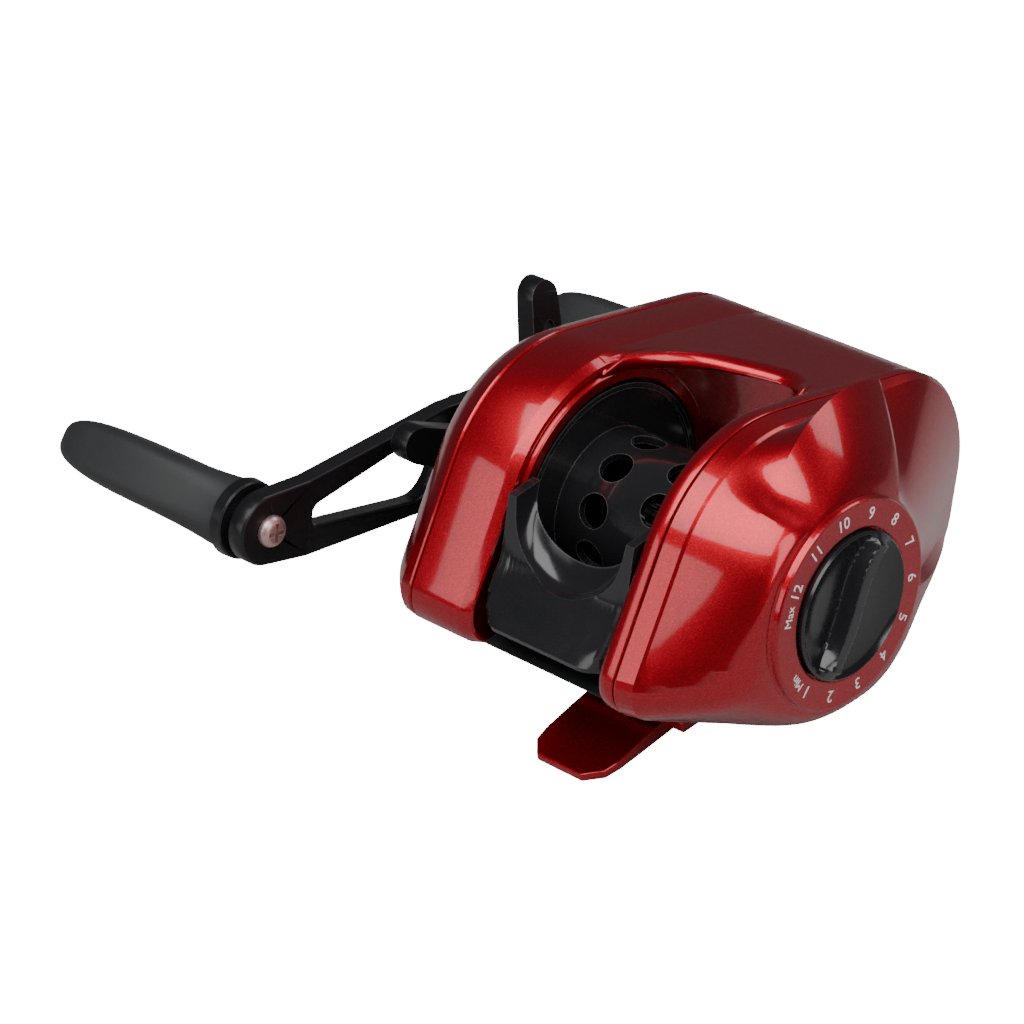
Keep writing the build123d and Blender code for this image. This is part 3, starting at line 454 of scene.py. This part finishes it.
def facetPoint(turn, t, rimRadius, rimX):
    # the flat facet beside the seam, on the upper front, which meets the dome at a crease
    s = palmSettings
    (frontTurn, frontRadius, frontX), (rearTurn, rearRadius, rearX) = s["facetFront"], s["facetRear"]
    share = (turn - frontTurn) / (rearTurn - frontTurn)
    radius, x = frontRadius + (rearRadius - frontRadius) * share, frontX + (rearX - frontX) * share
    split = s["creaseRow"] / s["rows"]
    if t <= split:
        k = t / split
        return rimRadius + (radius - rimRadius) * k, rimX + (x - rimX) * k
    k = (t - split) / (1 - split)
    climb = 1 - (1 - k) ** 1.3
    return radius + (s["ringRadius"] + 0.5 - radius) * k, x + (s["ringBase"] + 0.15 - x) * climb


def domePoint(i, angle, t):
    s = palmSettings
    turn = turnOf(angle)
    rimRadius, rimX = palmBelt[i] - 0.75, s["crease"] + 0.15 - noseDrop(turn)
    radius = rimRadius * (1 - t) + (s["ringRadius"] + 0.5) * t
    x = rimX + (s["ringBase"] + 0.15 - rimX) * (1 - (1 - t) ** domePower(turn))
    weight = smooth((turn - 30) / 10) * smooth((118 - turn) / 20)
    if weight > 0:
        flatRadius, flatX = facetPoint(turn, t, rimRadius, rimX)
        radius, x = radius + (flatRadius - radius) * weight, x + (flatX - x) * weight
    return x, radius


def palmPlate():
    s = palmSettings

    def rim(back):
        return lambda i, angle: s["crease"] - back - noseDrop(turnOf(angle))

    rings = [
        beltRing(fixed(s["seam"]), inset(palmBelt, s["wall"])),
        beltRing(fixed(s["seam"]), inset(palmBelt, 0.35)),
        beltRing(fixed(s["seam"] + 0.12), inset(palmBelt, 0.1)),
        beltRing(fixed(s["seam"] + 0.35), inset(palmBelt, 0.0)),
        beltRing(rim(0.25), inset(palmBelt, 0.45)),
        beltRing(rim(-0.15), inset(palmBelt, 0.75)),
    ]
    for row in range(1, s["rows"] + 1):
        t = row / s["rows"]
        dome = [domePoint(i, 2 * pi * i / bodySettings["around"], t) for i in range(bodySettings["around"])]
        rings.append(beltRing(lambda i, angle: dome[i][0], lambda i, angle: dome[i][1]))
    for x, radius in (
        (s["ringBase"] + 0.35, s["ringRadius"] + 0.12), (s["ringTop"] - 0.3, s["ringRadius"]),
        (s["ringTop"] - 0.05, s["ringRadius"] - 0.12), (s["ringTop"], s["ringRadius"] - 0.35),
        (s["ringTop"], s["dialHole"] + 0.25), (s["ringTop"] - 0.1, s["dialHole"]),
        (s["recess"], s["dialHole"]), (s["recess"], s["bore"]), (s["recess"] - 1.4, s["bore"]),
        (s["recess"] - 1.4, s["ringRadius"] - 1.8),
    ):
        rings.append(beltRing(fixed(x), fixed(radius)))
    rings.append(beltRing(fixed(s["seam"] + 1), inset(palmBelt, s["wall"] + 0.8)))
    return loftRings(rings, wrap=True)


addRed("palmPlate", palmPlate(), ["palm_side_plate"], sharp=10)
print("palm plate done")


# frame: two side walls, hood, lip, floor and foot

frameSettings = {
    "innerFace": 11.0, "palmSeam": 14.0, "gearSeam": -21.5, "webFace": -13.4, "webBack": -15.0,
    "webBore": 3.4, "wall": 1.8, "lipBack": 24.0,
    "spoolOpening": 17.0, "collar": 18.8, "hoodRear": 14.4, "hoodSlope": 0.4, "hoodBow": 0.016,
    "hoodThick": 2.2, "windowTop": 27.0, "lipTop": 6.9, "floorTop": 5.2, "columns": 44,
    "gearCorner": 8.5, "palmCorner": 6.5,
    # rounding of each wall's inner edge: (across, how deep)
    "gearRounding": ((0.0, 1.7), (0.2, 1.15), (0.35, 0.75), (1.6, 0.15), (2.0, 0.0)),
    "palmRounding": ((0.0, 1.4), (0.15, 0.8), (0.6, 0.25), (1.2, 0.0)),
}


def gearWall():
    s = frameSettings
    face = -s["innerFace"]
    rounding = [(face - across, inset(gearBelt, deep)) for across, deep in s["gearRounding"][1:]]
    steps = [
        (s["webFace"], fixed(s["webBore"])), (s["webFace"], fixed(s["spoolOpening"])),
        (face - 0.25, fixed(s["spoolOpening"])), (face, fixed(s["spoolOpening"] + 0.25)),
        (face, fixed(s["collar"] - 0.3)), (face - 0.3, fixed(s["collar"])),
        (face - 1.1, fixed(s["collar"] + 0.25)), (face - 1.2, inset(gearBelt, 2.1)),
        (face - 0.5, inset(gearBelt, 1.7)), *rounding,
        (s["gearSeam"] + 0.25, inset(gearBelt, 0.0)), (s["gearSeam"], inset(gearBelt, 0.25)),
        (s["gearSeam"], inset(gearBelt, s["wall"])), (s["webBack"], inset(gearBelt, s["wall"])),
        (s["webBack"], fixed(s["webBore"])),
    ]
    return loftRings([beltRing(fixed(x), radius) for x, radius in steps], wrap=True)


def palmWall():
    s = frameSettings
    face = s["innerFace"]
    rounding = [(face + across, inset(palmBelt, deep)) for across, deep in s["palmRounding"]]
    steps = [
        (s["palmSeam"], fixed(s["spoolOpening"])), (face + 0.3, fixed(s["spoolOpening"])),
        (face, fixed(s["spoolOpening"] + 0.3)),
        *rounding, (s["palmSeam"] - 0.3, inset(palmBelt, 0.0)),
        (s["palmSeam"] - 0.1, inset(palmBelt, 0.1)), (s["palmSeam"], inset(palmBelt, 0.3)),
    ]
    return loftRings([beltRing(fixed(x), radius) for x, radius in steps], wrap=True)


def beltPoint(belt, angle, depth=0.0):
    count = bodySettings["around"]
    place = (angle / (2 * pi) * count) % count
    i = int(place)
    radius = belt[i] * (1 - place + i) + belt[(i + 1) % count] * (place - i) - depth
    return spoolYZ[0] + radius * cos(angle), spoolYZ[1] + radius * sin(angle)


def angleWhere(belt, test, start, end, steps=400):
    for k in range(steps + 1):
        angle = start + (end - start) * k / steps
        if test(*beltPoint(belt, angle)):
            return angle
    return end


def wallRounding(x):
    # how far the side walls' inner edges are rounded away, at a station across the reel
    beyond = abs(x) - frameSettings["innerFace"]
    steps = frameSettings["palmRounding"] if x > 0 else frameSettings["gearRounding"]
    if beyond <= 0:
        return 0.0
    for (first, deep), (last, shallow) in zip(steps, steps[1:]):
        if beyond <= last:
            return deep + (shallow - deep) * (beyond - first) / (last - first)
    return 0.0


def shellStrip(startAngle, endAngle, rows=30, overlap=(0.6, 0.6)):
    # a curved wall across the reel; the start edge may bow with x
    s = frameSettings
    low, high = -s["innerFace"] - overlap[0], s["innerFace"] + overlap[1]
    loops = []
    for c in range(s["columns"] + 1):
        x = (low + high) / 2 - (high - low) / 2 * cos(pi * c / s["columns"])
        first, last = startAngle(x), endAngle(x)
        sense = 1 if last > first else -1
        angles = [first + (last - first) * (r / rows) ** 1.3 for r in range(rows + 1)]
        sinks = [wallRounding(x) * (1 - smooth(r / rows * 3.5)) for r in range(rows + 1)]
        loop = [(x, *beltPoint(palmBelt, angle, sink)) for angle, sink in zip(angles, sinks)]
        for step, deep in ((0.014, 0.12), (0.024, 0.35), (0.028, 0.6)):
            loop.append((x, *beltPoint(palmBelt, last + sense * step, s["hoodThick"] * deep)))
        for angle in reversed(angles):
            loop.append((x, *beltPoint(palmBelt, angle, s["hoodThick"])))
        for step, deep in ((0.04, 0.75), (0.046, 0.5), (0.034, 0.25), (0.016, 0.08)):
            sink = s["hoodThick"] * deep + wallRounding(x) * (1 - deep)
            loop.append((x, *beltPoint(palmBelt, first - sense * step, sink)))
        loops.append(loop)
    return loftRings(loops, capFirst=True, capLast=True)


def hoodRearAngle(x):
    # the rear edge runs into both walls through a round corner
    s = frameSettings
    held = max(-s["innerFace"], min(s["innerFace"], x))
    corner = s["gearCorner"] if x < 0 else s["palmCorner"]
    into = max(0.0, abs(held) - (s["innerFace"] - corner))
    drop = corner - (max(0.0, corner * corner - into * into)) ** 0.5
    rear = s["hoodRear"] + s["hoodSlope"] * held - s["hoodBow"] * held * held - drop
    return angleWhere(palmBelt, lambda y, z: y >= rear and z > 20, radians(130), radians(0))


hoodFront = angleWhere(palmBelt, lambda y, z: z <= frameSettings["windowTop"], radians(40), radians(-30))
lipFront = angleWhere(palmBelt, lambda y, z: z <= frameSettings["lipTop"], radians(0), radians(-90))
lipRear = angleWhere(palmBelt, lambda y, z: y <= frameSettings["lipBack"], radians(-10), radians(-120))


def boxLoft(stations):
    # each station along the foot: (y, half width, bottom, top)
    rings = []
    for y, half, low, high in stations:
        rings.append([(-half, y, low), (half, y, low), (half, y, high), (-half, y, high)])
    return loftRings(rings, capFirst=True, capLast=True)


footSettings = {
    "halfLength": 29.0, "halfWidth": 6.5, "thick": 2.4, "thin": 1.2, "round": 5.0, "endNarrowing": 2.6,
    "neck": 15.0, "neckHalf": (4.6, 13.5), "neckCorners": (0.45, 0.3),
}


def footPlate():
    s = footSettings
    stations = []
    for k in range(25):
        y = -s["halfLength"] + 2 * s["halfLength"] * k / 24
        toEnd = s["halfLength"] - abs(y)
        half = s["halfWidth"]
        if toEnd < s["round"]:
            half = s["halfWidth"] - s["endNarrowing"] * (1 - toEnd / s["round"]) ** 3
        share = smooth((abs(y) - s["neck"]) / (s["halfLength"] - s["neck"]))
        stations.append((y, half, 0.0, s["thick"] - (s["thick"] - s["thin"]) * share))
    return boxLoft(stations)


def neckBlock():
    # the block between foot and floor, flared where it meets the foot
    s = footSettings
    (halfX, halfY), (squareX, squareY) = s["neckHalf"], s["neckCorners"]
    rings = []
    flare = [(s["thick"] - 0.4, 1.6), (s["thick"] + 0.3, 0.6), (3.4, 0.0), (frameSettings["floorTop"], 0.3)]
    for z, grow in flare:
        ring = []
        for k in range(40):
            a = 2 * pi * k / 40
            x = (halfX + grow * 0.6) * power(cos(a), squareX)
            ring.append((x, (halfY + grow) * power(sin(a), squareY), z))
        rings.append(ring)
    return loftRings(rings, capFirst=True, capLast=True)


def floorPan():
    s = frameSettings
    half = s["innerFace"] + 0.4
    underside = ((-17.0, 3.4), (-12, 3.0), (0, 2.8), (14, 2.8), (22, 3.4), (27, 4.6))
    return boxLoft([(y, half, low, s["floorTop"]) for y, low in underside])


addRed("frameWalls", join(gearWall(), palmWall()), ["frame"], sharp=28)
hood = shellStrip(hoodRearAngle, lambda x: hoodFront, overlap=(2.1, 1.3))
lip = shellStrip(lambda x: lipFront, lambda x: lipRear, rows=8)
addRed("frameHood", join(hood, lip), ["frame"], sharp=40)
addRed("reelFoot", join(footPlate(), neckBlock(), floorPan()), ["frame"], sharp=40, bevel=0.45)
print("frame done")


# gear side cover

coverSettings = {
    "seam": -21.6, "shoulder": -23.5, "face": -28.5, "faceScale": 0.8, "rows": 10, "bore": 7.0, "wall": 1.8,
    "focus": (driveYZ[0] - 4.0, driveYZ[1] + 4.0), "coreScale": 0.56,
}


def coverRing(x, scale, shrink):
    # the belt, shrunk towards the cover's focus
    focusY, focusZ = coverSettings["focus"]
    ring = beltRing(fixed(x), inset(gearBelt, shrink))
    return [(x, focusY + (y - focusY) * scale, focusZ + (z - focusZ) * scale) for _, y, z in ring]


def boreRing(x):
    # the bearing's bore, with a point for each point of the belt
    focusY, focusZ = coverSettings["focus"]
    ring = []
    for _, y, z in beltRing(fixed(x), inset(gearBelt, 0.0)):
        share = coverSettings["bore"] / hypot(y - focusY, z - focusZ)
        ring.append((x, driveYZ[0] + (y - focusY) * share, driveYZ[1] + (z - focusZ) * share))
    return ring


def gearCover():
    s = coverSettings
    face, inside = s["face"] - 0.15, s["face"] + s["wall"]
    rings = [
        coverRing(s["seam"], 1, s["wall"]), coverRing(s["seam"], 1, 0.3),
        coverRing(s["seam"] - 0.12, 1, 0.1), coverRing(s["seam"] - 0.35, 1, 0),
    ]
    for row in range(s["rows"] + 1):
        t = row / s["rows"]
        climb = 1 - (1 - t) ** 1.9
        x = s["shoulder"] + (s["face"] - s["shoulder"]) * climb
        rings.append(coverRing(x, 1 - (1 - s["faceScale"]) * t, 0.25))
    rings += [coverRing(face, 0.66, 0.25), coverRing(face, s["coreScale"], 0.25), boreRing(face)]
    rings += [boreRing(inside), coverRing(inside, s["coreScale"], s["wall"])]
    rings.append(coverRing(s["shoulder"], 0.98, s["wall"]))
    return loftRings(rings, wrap=True)


bossSettings = {
    "bearing": [(-28.0, 8.2), (-28.9, 8.2), (-29.1, 8.0), (-29.1, 7.05), (-24.0, 7.05), (-24.0, 8.2)],
    "cap": [(-24.6, 5.4), (-31.0, 5.4), (-31.1, 5.2), (-31.1, 4.05), (-24.6, 4.05)],
}
bearingBoss = latheX(bossSettings["bearing"], driveYZ, wrap=True)
capBoss = latheX(bossSettings["cap"], spoolYZ, wrap=True)
addRed("gearCover", gearCover(), ["gear_side_cover"], sharp=26)
addRed("coverBosses", join(bearingBoss, capBoss), ["gear_side_cover"], sharp=30)
print("gear cover done")


# brake dial: a dished disc with a curved grip blade

dialSettings = {
    "radius": 10.0, "low": 28.5, "rim": 30.3, "dish": 1.2, "blade": 0.8, "bladeHalf": 1.0, "lean": 0.9,
    "turn": 45.0, "stem": 4.0, "stemEnd": 24.6, "around": 96, "rows": 30,
}


def dialFace():
    s = dialSettings
    turn = radians(s["turn"])
    edge = [
        (s["low"], s["stem"]), (s["low"], s["radius"] - 0.2), (s["low"] + 0.2, s["radius"]),
        (s["rim"] - 0.25, s["radius"]), (s["rim"], s["radius"] - 0.3),
    ]
    rings = [circlePoints(x, radius, (0, 0), s["around"]) for x, radius in edge]
    radii = [s["radius"] - 0.9] + [(s["radius"] - 1.2) * (1 - k / s["rows"]) for k in range(s["rows"] + 1)]
    for radius in radii:
        ring = []
        for i in range(s["around"]):
            a = 2 * pi * i / s["around"]
            y, z = radius * cos(a), radius * sin(a)
            along = y * cos(turn) + z * sin(turn)
            aside = -y * sin(turn) + z * cos(turn) - s["lean"] * sin(along / s["radius"] * pi * 0.9)
            share = radius / s["radius"]
            dish = s["dish"] * (1 - share ** 5)
            ridge = smooth(1.9 - abs(aside) / s["bladeHalf"])
            ridge *= smooth((s["radius"] - 0.6 - abs(along)) / 1.3 + 0.2)
            crown = s["blade"] + s["dish"] - 0.35 * (along / s["radius"]) ** 2
            x = s["rim"] - dish + crown * ridge * (1 if radius < s["radius"] - 0.5 else 0)
            ring.append((x, y, z))
        rings.append(ring)
    placed = [[(x, y + spoolYZ[0], z + spoolYZ[1]) for x, y, z in ring] for ring in rings]
    return loftRings(placed)


def dialStem():
    s = dialSettings
    profile = [(s["stemEnd"], 0.5), (s["stemEnd"], s["stem"]), (s["low"], s["stem"])]
    return latheX(profile, spoolYZ, capFirst=True)


dial = join(dialFace(), dialStem())
addPiece("brakeDial", *dial, "glossBlack", "dial", ["brake_dial"], "black_gloss", sharp=40)


# thumb bar: a sloping pad, hollowed between two horns for the thumb

thumbSettings = {
    "half": 10.8, "inner": 18.0, "bottom": 19.6, "hornTop": 35.0, "hornRear": -20.9, "bend": (-23.8, 26.9),
    "edge": (-25.0, 25.7), "tip": (-30.0, 20.7), "floor": 28.2, "bowl": 9.3, "sag": 0.9, "corner": 4.0,
    "columns": 56,
    "lug": ((-16.3, -9.8), (-23.4, -21.4), (21.5, 25.0)),
}


def slopeY(z):
    # how far back the outer slope stands at a height
    s = thumbSettings
    (bendY, bendZ), (tipY, tipZ) = s["bend"], s["tip"]
    if z > bendZ:
        return bendY + (s["hornRear"] - bendY) * (z - bendZ) / (s["hornTop"] - bendZ)
    return tipY + (bendY - tipY) * (z - tipZ) / (bendZ - tipZ)


def arcY(z):
    # the inner face, which follows the spool
    return spoolYZ[0] - (thumbSettings["inner"] ** 2 - (z - spoolYZ[1]) ** 2) ** 0.5


def thumbPad():
    s = thumbSettings
    loops = []
    for c in range(s["columns"] + 1):
        x = -s["half"] * cos(pi * c / s["columns"])
        hollow = max(0.0, 1 - (x / s["bowl"]) ** 2) ** 0.5
        innerTop = s["hornTop"] + (s["floor"] - s["hornTop"]) * hollow
        outerTop = s["hornTop"] + (s["edge"][1] - s["hornTop"]) * hollow ** 0.8
        into = max(0.0, abs(x) - (s["half"] - s["corner"]))
        rear = s["tip"][0] + s["corner"] - (s["corner"] ** 2 - into ** 2) ** 0.5
        loop = []
        for k in range(13):
            z = s["bottom"] + (innerTop - s["bottom"]) * k / 12
            loop.append((x, arcY(z), z))
        first, last = (arcY(innerTop), innerTop), (slopeY(outerTop), outerTop)
        for k in range(1, 10):
            t = k / 10
            sag = s["sag"] * hollow * sin(pi * t)
            loop.append((x, first[0] + (last[0] - first[0]) * t, first[1] + (last[1] - first[1]) * t - sag))
        for k in range(11):
            z = outerTop + (s["tip"][1] - outerTop) * k / 10
            loop.append((x, max(slopeY(z), rear), z))
        loop.append((x, max(s["tip"][0] + 0.15, rear + 0.1), s["tip"][1] - 0.7))
        loop.append((x, max(s["tip"][0] + 0.7, rear + 0.5), s["bottom"]))
        loops.append(loop)
    return loftRings(loops, capFirst=True, capLast=True)


def thumbLug():
    (x0, x1), (y0, y1), (z0, z1) = thumbSettings["lug"]
    ends = [[(x, y0, z0), (x, y1, z0), (x, y1, z1), (x, y0, z1)] for x in (x0, x1)]
    return loftRings(ends, capFirst=True, capLast=True)


addPiece(
    "thumbPad", *join(thumbPad(), thumbLug()), "glossBlack", "thumb_bar", ["thumb_bar"], "black_gloss",
    sharp=32, bevel=0.25,
)
print("thumb bar done")


# numerals printed on the dial's ring, reading outwards

numeralSettings = {
    "radius": 12.15, "first": -141.9, "step": 25.7, "count": 12, "size": 2.35, "height": 29.62, "lift": 0.03,
    "wordSize": 1.75, "minGap": 12.5, "maxGap": 15.5,
}


def addNumeral(text, angle, size):
    curve = bpy.data.curves.new("numeral", "FONT")
    curve.body = text
    curve.size = size * mm
    curve.align_x = "CENTER"
    curve.align_y = "CENTER"
    curve.extrude = numeralSettings["lift"] * mm
    curve.resolution_u = 3  # coarse curves are enough at this size
    holder = bpy.data.objects.new("numeral", curve)
    bpy.context.collection.objects.link(holder)
    bpy.context.view_layer.update()
    mesh = bpy.data.meshes.new_from_object(holder)
    bpy.data.objects.remove(holder)
    a = radians(angle)
    out = Vector((0, cos(a), sin(a)))
    face = Vector((1, 0, 0))
    side = out.cross(face)
    place = Matrix((side, out, face)).transposed().to_4x4()
    centre = Vector((numeralSettings["height"], *spoolYZ)) + out * numeralSettings["radius"]
    place.translation = centre * mm
    mesh.transform(place)
    return mesh


def ringLabels():
    s = numeralSettings
    labels = [(str(n + 1), s["first"] + s["step"] * n, s["size"]) for n in range(s["count"])]
    last = s["first"] + s["step"] * (s["count"] - 1)
    labels.append(("Min", s["first"] - s["minGap"], s["wordSize"]))
    labels.append(("Max", last + s["maxGap"], s["wordSize"]))
    return labels


marks = bmesh.new()
for text, angle, size in ringLabels():
    marks.from_mesh(addNumeral(text, angle, size))
numeralMesh = bpy.data.meshes.new("ringNumerals")
marks.to_mesh(numeralMesh)
marks.free()
numeralMesh.materials.append(materials["whiteInk"])
numerals = bpy.data.objects.new("ringNumerals", numeralMesh)
bpy.context.collection.objects.link(numerals)
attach(numerals, "reel_frame")
print("dial and numerals done")


# handle knobs: paddles with a waist and a rounded tip

knobSettings = {
    "length": 33.0, "turn": 134.0, "around": 40,
    "stations": [
        # along, half width, half depth, squareness, sideways shift
        (0.0, 5.0, 5.0, 1.0, 0.0), (0.04, 5.2, 5.1, 1.0, 0.0), (0.1, 5.3, 4.9, 0.75, 0.0),
        (0.2, 6.2, 4.5, 0.55, 0.0), (0.34, 7.4, 4.3, 0.45, 0.0), (0.52, 8.3, 4.3, 0.42, 0.0),
        (0.7, 8.5, 4.2, 0.42, 0.0), (0.84, 8.3, 3.7, 0.46, 0.0), (0.93, 7.4, 3.0, 0.55, -0.4),
        (0.985, 5.6, 2.2, 0.7, -0.9), (1.0, 3.0, 1.2, 0.9, -1.2),
    ],
    "collar": [(0.2, 3.4), (0.2, 5.2), (0.0, 5.4), (-1.6, 5.5), (-1.8, 5.3), (-1.8, 3.4)],
}


def knobShape(centre, base):
    s = knobSettings
    turn = radians(s["turn"])
    rings = []
    for along, halfWidth, halfDepth, square, shift in s["stations"]:
        ring = []
        for i in range(s["around"]):
            a = 2 * pi * i / s["around"]
            wide = halfWidth * power(cos(a), square) + shift
            deep = halfDepth * power(sin(a), square)
            y = wide * cos(turn) - deep * sin(turn)
            z = wide * sin(turn) + deep * cos(turn)
            ring.append((base - s["length"] * along, centre[0] + y, centre[1] + z))
        rings.append(ring)
    return loftRings(rings, capFirst=True, capLast=True)


def addKnob(side):
    post = centreOf("knob_post_" + side)
    centre, base = (post.y, post.z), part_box("knob_" + side)[1].x / mm
    body = "knob_" + side
    addPiece(
        "knob" + side.capitalize(), *knobShape(centre, base), "softGrip", body, [body], "black_rubber",
        sharp=50, levels=2,
    )
    collar = latheX([(base + x, r) for x, r in knobSettings["collar"]], centre, count=64, wrap=True)
    addPiece("knobCollar" + side.capitalize(), *collar, "satinBlack", body, slot="black_satin", sharp=30)


for side in ("near", "far"):
    addKnob(side)
print("knobs done")


# the carried CAD nodes: softened edges and a procedural finish

dressed = {
    "satinBlack": ["handle_arm", "star_drag", "tension_knob", "nut_retainer", "worm_tube"],
    "glossBlack": ["line_guide"],
    "insertBlack": ["thumb_bar_guard"],
    "spoolBlack": ["spool"],
    "steel": [
        "cover_screws", "spool_shaft", "spool_pin", "spool_bearing_palm", "spool_bearing_gear", "yoke_posts",
        "yoke_springs", "clutch_cam", "drive_shaft", "drive_shaft_bearing", "drag_pressure_plate",
        "one_way_sleeve", "one_way_bearing", "spring_washers", "handle_nut", "retainer_screw",
        "knob_post_near", "knob_post_far", "worm_shaft", "guide_bar", "levelwind_pawl",
    ],
    "tintedSteel": ["arm_screw_near", "arm_screw_far"],
    "brass": ["pinion_gear", "drive_gear", "pawl_cap"],
    "polymer": [
        "brake_base", "magnet_carrier", "levelwind_drive_gear", "worm_gear", "clutch_yoke", "worm_bushings",
    ],
    "fibre": ["drag_washer", "tension_shim"],
    "nickel": ["brake_magnets"],
    "ceramic": ["guide_ring"],
}
softened = {
    # width of the rounding, for the pieces whose edges catch the light
    "handle_arm": 0.45, "star_drag": 0.4, "tension_knob": 0.2, "nut_retainer": 0.25, "thumb_bar_guard": 0.4,
    "line_guide": 0.3, "handle_nut": 0.2,
}


def dress(node, material, width):
    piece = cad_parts[node]
    piece.data.materials.clear()
    piece.data.materials.append(materials[material])
    if width:
        addModifier(piece, "WELD", merge_threshold=1e-6)
        addModifier(
            piece, "BEVEL", width=width * mm, segments=2, limit_method="ANGLE",
            angle_limit=radians(38), harden_normals=True, use_clamp_overlap=True,
        )


for material, nodes in dressed.items():
    for node in nodes:
        dress(node, material, softened.get(node))
print("CAD nodes dressed")


# floor, light and camera

cameraSettings = {
    "right": (0.7193, 0.6837, -0.1230), "up": (-0.3186, 0.4821, 0.8162), "back": (0.6173, -0.5479, 0.5646),
    "distance": 0.5333, "lens": 140.6, "sensor": 36, "aim": (-25.95, 19.57),
}


def addCamera():
    s = cameraSettings
    right, up, back = Vector(s["right"]), Vector(s["up"]), Vector(s["back"])
    data = bpy.data.cameras.new("camera")
    data.lens = s["lens"]
    data.sensor_width = s["sensor"]
    data.clip_start = 0.01
    camera = bpy.data.objects.new("camera", data)
    bpy.context.collection.objects.link(camera)
    place = Matrix((right, up, back)).transposed().to_4x4()
    place.translation = (right * s["aim"][0] + up * s["aim"][1]) * mm + back * s["distance"]
    camera.matrix_world = place
    bpy.context.scene.camera = camera


floorSettings = {
    "slope": 6.0, "hinge": (0, -29.0, -0.2), "size": 3.0,
    "dark": (0.93, 0.93, 0.93), "light": (0.96, 0.96, 0.96), "bounce": (0.38, 0.38, 0.38), "glow": 16.0,
}


def addFloor():
    # the reel leans on its foot's back edge and the far knob
    s = floorSettings
    slope = radians(s["slope"])
    normal = Vector((0, sin(slope), cos(slope)))
    mesh = bpy.data.meshes.new("floor")
    work = bmesh.new()
    bmesh.ops.create_grid(work, x_segments=8, y_segments=8, size=s["size"])
    work.to_mesh(mesh)
    work.free()
    floor = bpy.data.objects.new("floor", mesh)
    bpy.context.collection.objects.link(floor)
    turn = normal.to_track_quat("Z", "Y")
    floor.matrix_world = Matrix.Translation(Vector(s["hinge"]) * mm) @ turn.to_matrix().to_4x4()
    paper = bpy.data.materials.new("floorPaper")
    paper.use_nodes = True
    tree = paper.node_tree
    shader = tree.nodes["Principled BSDF"]
    noise = addNode(tree, "ShaderNodeTexNoise", Scale=30.0, Detail=4.0)
    seen = mixColour(tree, noise.outputs["Fac"], s["dark"], s["light"])
    shader.inputs["Roughness"].default_value = 0.9
    shader.inputs["Emission Color"].default_value = (1, 1, 1, 1)
    ray = tree.nodes.new("ShaderNodeLightPath")
    # the reel sees a greyer floor than the camera does
    colour = mixColour(tree, ray.outputs["Is Camera Ray"], s["bounce"], seen)
    tree.links.new(colour, shader.inputs["Base Color"])
    glow = maths(tree, "MULTIPLY", ray.outputs["Is Camera Ray"], s["glow"])
    tree.links.new(glow, shader.inputs["Emission Strength"])
    mesh.materials.append(paper)


boxSettings = {
    # direction, distance, width, height, watts
    "keyBox": ((0.1, -0.35, 1.0), 0.6, 0.6, 0.45, 4.2),
    "palmBox": ((1.0, -0.1, 0.6), 0.7, 0.35, 0.5, 2.2),
    "rearBox": ((-0.3, -1.0, 0.45), 0.8, 0.5, 0.3, 1.2),
    "frontBox": ((0.2, 1.0, 0.9), 0.8, 0.5, 0.3, 1.6),
}


def addSoftbox(name, direction, distance, width, height, energy):
    data = bpy.data.lights.new(name, "AREA")
    data.shape = "RECTANGLE"
    data.size = width
    data.size_y = height
    data.energy = energy
    light = bpy.data.objects.new(name, data)
    bpy.context.collection.objects.link(light)
    out = Vector(direction).normalized()
    place = Matrix.Translation(out * distance + Vector((0, 0, 0.02)))
    light.matrix_world = place @ out.to_track_quat("Z", "Y").to_matrix().to_4x4()


skySettings = {"around": (0.1, 0.1, 0.105), "seen": (1.0, 1.0, 1.0)}


def addWorld():
    world = bpy.data.worlds.new("studio")
    bpy.context.scene.world = world
    world.use_nodes = True
    tree = world.node_tree
    background = tree.nodes["Background"]
    ray = tree.nodes.new("ShaderNodeLightPath")
    colour = mixColour(tree, ray.outputs["Is Camera Ray"], skySettings["around"], skySettings["seen"])
    tree.links.new(colour, background.inputs["Color"])
    background.inputs["Strength"].default_value = 1.0


addCamera()
addFloor()
addWorld()
for name, values in boxSettings.items():
    addSoftbox(name, *values)
print("stage ready")
